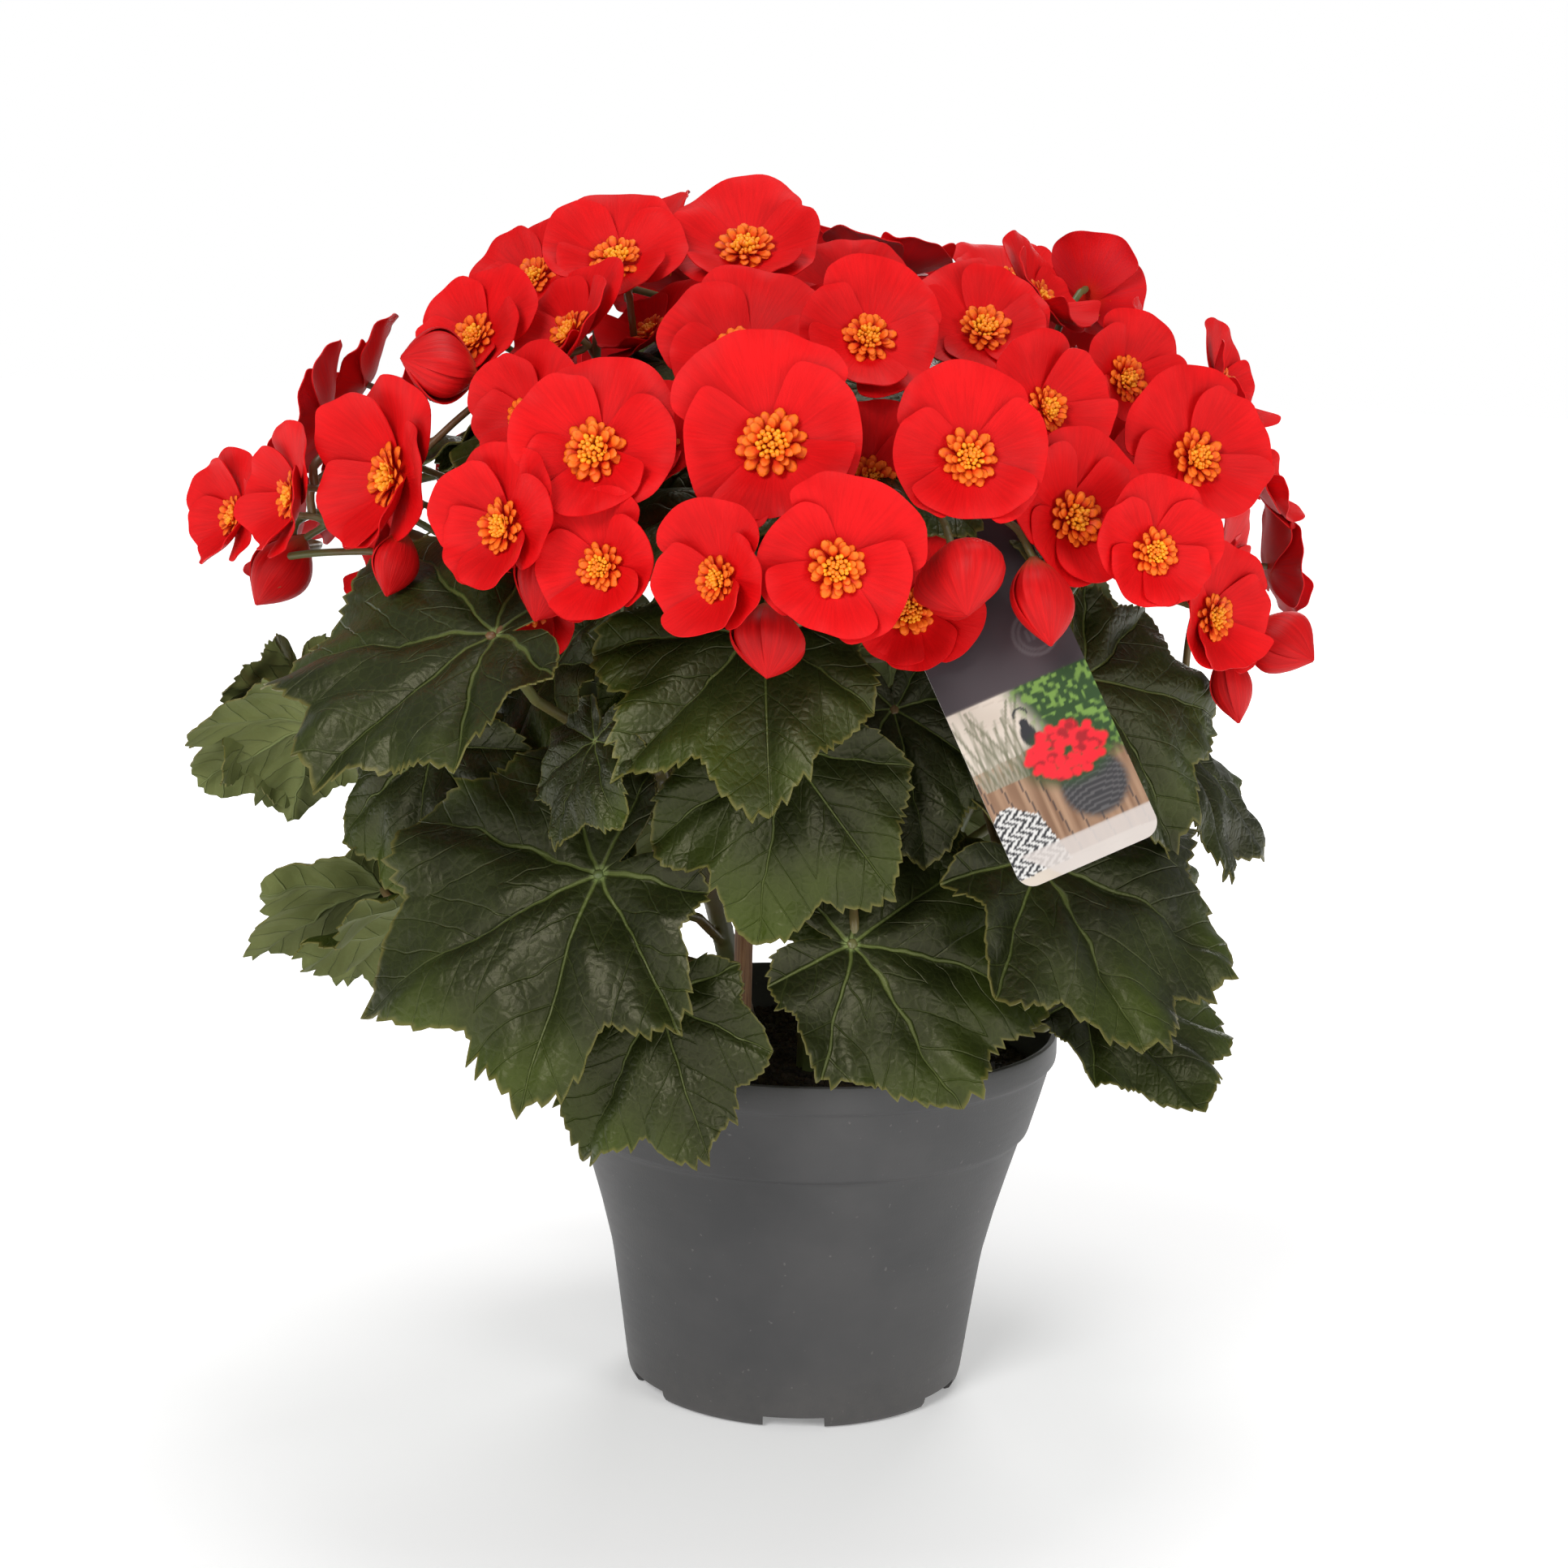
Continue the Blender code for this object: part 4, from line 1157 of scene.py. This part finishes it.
potStyle = {
    "segments": 168,
    "profile": [  # radius and height of the outside, in mm, from the base up
        (50.0, 0.0), (54.0, 0.0), (55.4, 0.7), (56.3, 2.2), (56.9, 4.6), (58.2, 14.0), (58.28, 14.3),
        (58.30, 14.9), (58.35, 15.2), (60.4, 30.0), (62.2, 42.0), (63.1, 47.0), (66.6, 61.0),
        (70.4, 74.0), (74.2, 86.4),
        (75.0, 88.2), (75.9, 88.7), (76.6, 89.2), (77.0, 90.2), (80.0, 100.5), (83.0, 111.5),
        (83.4, 112.5), (84.3, 113.0), (84.8, 113.7), (85.0, 115.0), (85.0, 120.4), (84.6, 121.6),
        (83.8, 122.0), (83.0, 121.8), (82.6, 121.0),
    ],
    "inner": [
        (82.3, 113.6), (81.7, 112.0), (78.3, 100.0), (75.4, 90.0), (73.2, 87.6), (64.9, 60.0),
        (60.7, 43.0), (56.8, 14.0), (55.2, 7.2), (53.6, 6.0),
    ],
    "channels": 6,
    "channelWidth": 0.020,
    "channelHeight": 0.004,
    "channelStart": 0.018,
    "channelEnd": 0.070,
    "holes": 6,
    "holeRadius": 0.004,
    "holeRing": 0.038,
    "holeSides": 28,
    "holeDepth": 0.03,
    "softening": 0.0005,
}


def lathe(profile, segments):
    # rings about the pot's axis from (radius, height) in millimetres
    local = [p for radius, height in profile for p in circle(segments, radius, height)]
    points = [plantFoot + Vector(p) * mm for p in local]
    return points, ringFaces(len(profile), segments) + capFaces(len(profile), segments)


def makePot():
    points, faces = lathe(potStyle["profile"] + potStyle["inner"], potStyle["segments"])
    pot = solidObject("nurseryPot", points, faces, [potFinish], creases=40)
    bm = bmesh.new()
    for k in range(potStyle["channels"]):
        turn = Matrix.Rotation(2 * math.pi * k / potStyle["channels"], 4, "Z")
        start, end = potStyle["channelStart"], potStyle["channelEnd"]
        width, height = potStyle["channelWidth"], potStyle["channelHeight"]
        made = bmesh.ops.create_cube(bm, size=1.0)["verts"]
        size = Matrix.Diagonal((width, end - start, height * 2, 1.0))
        shift = Matrix.Translation((plantFoot.x, plantFoot.y - (start + end) / 2, potLow.z))
        bmesh.ops.transform(bm, matrix=turn @ shift @ size, verts=made)
    for k in range(potStyle["holes"]):
        turn = Matrix.Rotation(2 * math.pi * k / potStyle["holes"], 4, "Z")
        made = bmesh.ops.create_cone(
            bm, cap_ends=True, segments=potStyle["holeSides"], radius1=potStyle["holeRadius"],
            radius2=potStyle["holeRadius"], depth=potStyle["holeDepth"])["verts"]
        shift = Matrix.Translation((plantFoot.x, plantFoot.y - potStyle["holeRing"], potLow.z))
        bmesh.ops.transform(bm, matrix=turn @ shift, verts=made)
    cutter = plainObject("channels", [], [])
    bm.to_mesh(cutter.data)
    bm.free()
    cut = pot.modifiers.new("cut", "BOOLEAN")
    cut.operation, cut.object, cut.solver, cut.use_self = "DIFFERENCE", cutter, "EXACT", True
    soften = pot.modifiers.new("soften", "BEVEL")
    soften.width, soften.segments, soften.limit_method = potStyle["softening"], 2, "ANGLE"
    soften.angle_limit = math.radians(50)
    applied(pot)
    bpy.data.objects.remove(cutter)
    sharpen(pot.data, 40)
    return pot


finished(makePot(), "pot_plastic", "pot")
print("pot made")


mixStyle = {"segments": 140, "rings": 44, "rough": 0.0024, "dome": 0.004}
crumbStyle = {"Spacing": 0.0021, "Density": 300000.0, "Smallest": 0.5, "Largest": 1.7, "Tilt": 3.1,
              "Seed": 21}
crumbShape = [(-0.8, 0.35, 0.35, 0), (-0.35, 0.95, 0.7, 0), (0.4, 0.8, 0.95, 0), (0.8, 0.3, 0.3, 0)]


def makeMix():
    low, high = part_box("growing_mix")
    segments, rings = mixStyle["segments"], mixStyle["rings"]
    radius = (high.x - low.x) / 2
    t = np.arange(segments) * 2 * np.pi / segments
    share = (np.arange(rings + 1)[:, None] / rings) ** 0.8
    x, y = radius * share * np.cos(t), radius * share * np.sin(t)
    lump = softNoise(x * 160 + 50, y * 160 + 50, 3) * 0.6 + softNoise(x * 420 + 90, y * 420 + 90, 4) * 0.4
    lump[0] = lump[0, 0]
    z = high.z - mixStyle["dome"] * share**2 + (lump - 0.75) * mixStyle["rough"]
    x, y = plantFoot.x + x, plantFoot.y + y
    points = [Vector(p) for p in zip(x.ravel(), y.ravel(), z.ravel())]
    crust = [tuple(reversed(face)) for face in ringFaces(rings + 1, segments)]
    sheet = plainObject("mixCrumbs", points, crust)
    rim = (high.z - mixStyle["dome"] - potLow.z) / mm - 4
    wall = [(r - 0.35, h) for r, h in potStyle["inner"] if h < rim] + [(53.0, (low.z - potLow.z) / mm)]
    points += lathe(wall, segments)[0]
    faces = [tuple(reversed(face)) for face in ringFaces(rings + 1 + len(wall), segments)]
    last = (rings + len(wall)) * segments
    faces.append(tuple(last + k for k in reversed(range(segments))))
    bed = solidObject("growingMix", points, faces, [mixFinish])
    with editing(bed.data) as bm:
        bmesh.ops.remove_doubles(bm, verts=bm.verts, dist=sameSpot)
        bmesh.ops.recalc_face_normals(bm, faces=bm.faces)
    return bed, sheet


bed, sheet = makeMix()
finished(bed, "peat", "growing_mix")
crumb = helperShape("crumb", crumbShape, 5)
runTree(sheet, scatter, {"Shape": crumb, "Finish": crumbFinish, **crumbStyle})
bpy.data.objects.remove(crumb)
finished(sheet, "peat")
print("growing mix made:", len(sheet.data.polygons), "crumb faces")


caneStyle = {"sides": 20, "rings": 90, "knots": (0.28, 0.71), "knotLift": 0.00025}


def makeCane(node, name, finish, seed):
    low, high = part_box(node)
    radius = (high.x - low.x) / 2 - 0.0003
    foot = Vector(((low.x + high.x) / 2, (low.y + high.y) / 2, low.z))
    sides, rings = caneStyle["sides"], caneStyle["rings"]
    points = []
    for j in range(rings + 1):
        v = j / rings
        knot = sum(math.exp(-(((v - k) / 0.008) ** 2)) for k in caneStyle["knots"])
        shrink = 0.83 if j in (0, rings) else 0.97
        for k, (x, y, z) in enumerate(circle(sides, 1.0, (high.z - low.z) * v)):
            flat = math.cos(2 * math.pi * k / sides + seed) > 0.75
            ripple = 1 - 0.06 * float(softNoise(k * 0.9, v * 6, seed)) - 0.10 * flat
            r = radius * ripple * shrink + caneStyle["knotLift"] * knot
            points.append(foot + Vector((x * r, y * r, z)))
    faces = ringFaces(rings + 1, sides) + capFaces(rings + 1, sides)
    finished(solidObject(name, points, faces, [finish], creases=50), "cane", node)


# the left cane takes the darker copy, with painted shade; the right one takes the lighter copy
makeCane("support_cane_left", "splitCaneLeft", caneFinishes[0], 2)
makeCane("support_cane_right", "splitCaneRight", caneFinishes[1], 5)
print("canes made")


labelStyle = {"width": 43.0, "height": 124.0, "corner": 5.0, "hole": 5.0, "holeReach": 8.5, "inset": 9.0,
              "cell": 0.5, "thickness": 0.0006, "bend": 0.0009}
inks = {
    "night": (0.030, 0.022, 0.026), "nightLight": (0.062, 0.046, 0.052), "emblem": (0.115, 0.100, 0.105),
    "teal": (0.03, 0.22, 0.19), "wall": (0.62, 0.55, 0.47), "wallShade": (0.47, 0.40, 0.33),
    "plank": (0.20, 0.105, 0.058), "plankLight": (0.36, 0.22, 0.135), "grass": (0.34, 0.31, 0.24),
    "grassDark": (0.15, 0.15, 0.09), "leafDark": (0.020, 0.055, 0.012), "leafLight": (0.15, 0.27, 0.05),
    "bloom": (0.74, 0.010, 0.022), "bloomDark": (0.33, 0.004, 0.010), "potDark": (0.035, 0.033, 0.036),
    "potEdge": (0.13, 0.125, 0.125), "cloth": (0.66, 0.65, 0.63), "clothDark": (0.022, 0.022, 0.026),
    "band": (0.56, 0.51, 0.48),
}


def inked(base, share, ink):
    # lays an ink over a picture, or over another ink
    base = np.array(inks[base]) if isinstance(base, str) else base
    share = np.clip(share, 0, 1)[:, None]
    return base * (1 - share) + np.array(inks[ink]) * share


def disc(s, t, cs, ct, rs, rt, soft=0.15):
    return 1 - smoothStep(1 - soft, 1 + soft, np.hypot((s - cs) / rs, (t - ct) / rt))


def cardTop(s, t):
    # a dark field with a ring and a few bars in it, under a teal strip
    rgb = inked("night", softNoise(s / 9, t / 9, 1) * 0.8, "nightLight")
    rgb = inked(rgb, smoothStep(108, 109, t), "teal")
    fromMiddle = np.hypot(s - 33, t - 66)
    rgb = inked(rgb, 0.6 * (1 - smoothStep(0.3, 0.8, np.abs(fromMiddle - 6.2))), "emblem")
    rgb = inked(rgb, 0.5 * (1 - smoothStep(0.2, 0.7, np.abs(fromMiddle - 4.7))), "emblem")
    bars = (np.abs(t - 66) < 1.6) & (np.abs(s - 33) < 3.9) & (np.abs((s - 33) % 1.6 - 0.8) < 0.5)
    return inked(rgb, 0.45 * bars, "emblem")


def cardScene(s, t):
    # a pot of red flowers by a plank wall, with grasses, a hedge, a jug and a patterned cloth
    scene = inked("wall", softNoise(s / 6, t / 6, 7) * 0.6, "wallShade")
    scene = inked(scene, 0.5 * (np.abs((t + 0.12 * s) % 6 - 3) > 2.8), "wallShade")
    wood = inked("plank", softNoise(s / 1.1, t / 14, 9) * 1.3 - 0.1, "plankLight")
    wood = inked(wood, 0.85 * (np.abs((s + 0.15 * t) % 5.2 - 2.6) > 2.35), "night")
    scene = np.where(((t < 34 + 0.06 * s) & (t > 4))[:, None], wood, scene)
    scene = inked(scene, (np.abs(t - 34 - 0.06 * s) < 1.1) * 1.0, "plankLight")
    for k in range(26):
        leaning = s - 2.0 - k * 0.55 - (k % 7 - 3) * 0.10 * (t - 30)
        blade = np.abs(leaning - 0.004 * (k % 5 - 2) * (t - 30) ** 2)
        on = (t > 29) & (t < 44 + k * 37 % 11)
        scene = inked(scene, on * (1 - smoothStep(0.15, 0.6, blade)) * 0.85, ("grass", "grassDark")[k % 2])
    hedge = smoothStep(20, 27, s + 0.35 * (t - 40)) * smoothStep(24, 30, t)
    scene = inked(scene, hedge, "leafDark")
    scene = inked(scene, hedge * smoothStep(0.52, 0.72, softNoise(s / 1.1, t / 1.1, 13)), "leafLight")
    scene = inked(scene, disc(s, t, 19.5, 40, 2.3, 3.4) + disc(s, t, 19.5, 43.6, 1.3, 1.4), "clothDark")
    handle = 1 - smoothStep(0.15, 0.5, np.abs(np.hypot(s - 19.5, t - 46) - 2.0))
    scene = inked(scene, handle * (t > 45.5), "clothDark")
    bowl = disc(s, t, 31, 20, 9.6, 9.0) * (t < 26)
    scene = inked(scene, bowl, "potDark")
    scene = inked(scene, bowl * 0.6 * (np.abs((t + 0.03 * (s - 31) ** 2) % 1.7 - 0.85) < 0.3), "potEdge")
    scene = inked(scene, disc(s, t, 27.5, 31, 13.0, 8.5, 0.3), "leafDark")
    rng = np.random.default_rng(8)
    for _ in range(150):
        angle, away, size = rng.uniform(0, 2 * np.pi), math.sqrt(rng.uniform(0, 1)), rng.uniform(0.9, 1.7)
        cs, ct = 27.5 + 11.8 * away * math.cos(angle), 32 + 7.8 * away * math.sin(angle)
        petal = disc(s, t, cs, ct, size, size * 0.85, 0.3)
        scene = inked(scene, petal, "bloom" if rng.uniform() < 0.75 else "bloomDark")
    zigzag = np.abs((s * 0.9 + 1.7 * np.abs((t * 0.8) % 3.2 - 1.6)) % 2.6 - 1.3)
    cloth = inked("cloth", smoothStep(0.62, 0.72, zigzag), "clothDark")
    covered = (s < 15 - 0.25 * (t - 10)) & (t > 3) & (t < 21 + 2.5 * np.sin(s * 0.35))
    scene = np.where(covered[:, None], cloth, scene)
    return inked(scene, 0.82 * (1 - smoothStep(8.8, 9.6, t)) * (s > 12 - t), "band")


def cardPicture(s, t):
    # s across from the left and t up from the foot, in millimetres
    share = smoothStep(53.6, 54.1, t)[:, None]
    return cardTop(s, t) * share + cardScene(s, t) * (1 - share)


def makeLabel():
    bm = mergedCopy("hang_label")
    corners = np.array([tuple(v.co) for v in bm.verts])
    bm.free()
    _, _, axes = np.linalg.svd(corners - corners.mean(0))
    up, right = (axis if axis[k] > 0 else -axis for axis, k in ((axes[0], 2), (axes[1], 0)))
    out = np.cross(right, up)
    spans = [((corners @ axis).min(), (corners @ axis).max()) for axis in (right, up, out)]
    middle = sum(axis * (low + high) / 2 for axis, (low, high) in zip((right, up, out), spans))
    width, height, corner = labelStyle["width"], labelStyle["height"], labelStyle["corner"]
    across, along = int(width / labelStyle["cell"]), int(height / labelStyle["cell"])
    grid = np.meshgrid(np.linspace(0, width, across + 1), np.linspace(0, height, along + 1))
    s, t = (q.ravel() for q in grid)
    # square corners drawn in to the rounded outline
    ds, dt = np.abs(s - width / 2) - (width / 2 - corner), np.abs(t - height / 2) - (height / 2 - corner)
    cornered = (ds > 0) & (dt > 0)
    pull = np.where(cornered, 1 - np.maximum(ds, dt) / np.maximum(np.hypot(ds, dt), 1e-9), 0.0)
    s, t = s - pull * ds * np.sign(s - width / 2), t - pull * dt * np.sign(t - height / 2)
    # points about the hole pushed out to its edge
    hole, reach = labelStyle["hole"], labelStyle["holeReach"]
    hs, ht = s - width / 2, t - (height - labelStyle["inset"])
    away = np.hypot(hs, ht)
    middlePoint = int(np.argmin(away))
    push = np.where(away < reach, hole * (1 / np.maximum(away, 1e-6) - 1 / reach), 0.0)
    s, t = s + hs * push, t + ht * push
    faces = [face for face in gridFaces(across, along)[0] if middlePoint not in face]
    bend = labelStyle["bend"] * (np.sin(np.pi * t / height) - 0.5) + labelStyle["thickness"] / 2
    local = np.stack([(s - width / 2) * mm, (t - height / 2) * mm, bend], 1)
    points = placed(local, middle, (right, up, out))
    picture = {"cardPicture": cardPicture(s, t)}
    label = solidObject("hangLabel", points, faces, [cardFinish, cardBack], values=picture)
    with editing(label.data) as bm:
        bmesh.ops.delete(bm, geom=[v for v in bm.verts if not v.link_faces], context="VERTS")
    wall = label.modifiers.new("wall", "SOLIDIFY")
    wall.thickness, wall.offset, wall.material_offset = labelStyle["thickness"], -1.0, 1
    wall.material_offset_rim = 1
    applied(label)
    sharpen(label.data, 40)
    return label


def cardReverse():
    f = Finish("cardBack")
    fibre = f.noise(f.objectPlace(), 900.0, 2.0)
    colour = f.blend(fibre, (0.55, 0.53, 0.50), (0.66, 0.64, 0.61))
    return f.finish(colour, f.line(fibre, 0.1, 0.45), f.bump(fibre, 0.00005, 0.3))


cardBack = cardReverse()
finished(makeLabel(), "card", "hang_label")
print("label made")


cameraStyle = {"place": (-0.0085, -0.90, 0.350), "pitch": 9.35, "roll": 1.5, "lens": 63.25, "sensor": 36.0}


def makeCamera():
    data = bpy.data.cameras.new("studioCamera")
    data.sensor_width, data.lens = cameraStyle["sensor"], cameraStyle["lens"]
    data.clip_start, data.clip_end = 0.02, 20.0
    camera = linked("studioCamera", data)
    tilt = Matrix.Rotation(math.radians(90 - cameraStyle["pitch"]), 4, "X")
    roll = Matrix.Rotation(math.radians(cameraStyle["roll"]), 4, "Z")
    camera.matrix_world = Matrix.Translation(cameraStyle["place"]) @ tilt @ roll
    bpy.context.scene.camera = camera


def makeStage():
    # a wide pale floor that glows a little more towards its edge, so it fades into the pale air
    ring, points, faces = 72, [(0.0, 0.0, -0.0002)], []
    for k in range(ring):
        t = 2 * math.pi * k / ring
        points.append((14 * math.sin(t), -14 * math.cos(t), -0.0002))
        faces.append((0, 1 + k, 1 + (k + 1) % ring))
    f = Finish("paleFloor")
    place = f.objectPlace()
    away = f.add("ShaderNodeVectorMath", {0: place}, operation="LENGTH").outputs["Value"]
    glow = f.fade(away, 0.15, 0.95, 0.22, 0.95)
    colour = f.blend(f.noise(place, 1.5, 2.0), (0.90, 0.90, 0.90), (0.93, 0.93, 0.93))
    paper = f.finish(colour, 0.9, None, 0.1, Emission_Color=(1.0, 1.0, 1.0), Emission_Strength=glow)
    floor = solidObject("paleFloor", points, faces, [paper])


lampStyle = {  # place, aim, size and power
    "keyLight": ((-0.8, -1.7, 1.3), (0, 0, 0.22), 0.9, 24),
    "fillLight": ((1.4, -1.4, 0.7), (0, 0, 0.22), 1.0, 10),
    "topLight": ((0.1, 0.3, 1.9), (0, 0, 0.2), 1.0, 11),
    "backLight": ((0.4, 1.9, 1.0), (0, 0, 0.25), 1.2, 16),
}


def softBox(name, place, aim, size, power):
    data = bpy.data.lights.new(name, "AREA")
    data.shape, data.size, data.energy = "DISK", size, power
    lamp = linked(name, data)
    away = Vector(place) - Vector(aim)
    lamp.matrix_world = Matrix.Translation(place) @ away.to_track_quat("Z", "Y").to_matrix().to_4x4()


makeCamera()
makeStage()
for name, setting in lampStyle.items():
    softBox(name, *setting)
world = bpy.data.worlds.new("studioAir")
bpy.context.scene.world = world
world.use_nodes = True
air = Nodes(world.node_tree)
glow = world.node_tree.nodes["Background"].inputs
air.feed(glow["Color"], (1.0, 1.0, 1.0, 1.0))
seen = air.add("ShaderNodeLightPath").outputs["Is Camera Ray"]
# the light it gives, then how pale it looks
strength = air.add("ShaderNodeMapRange", {"Value": seen, "To Min": 0.30, "To Max": 1.0})
air.feed(glow["Strength"], strength.outputs["Result"])
bpy.context.scene.view_settings.view_transform = "Standard"
print("stage made")
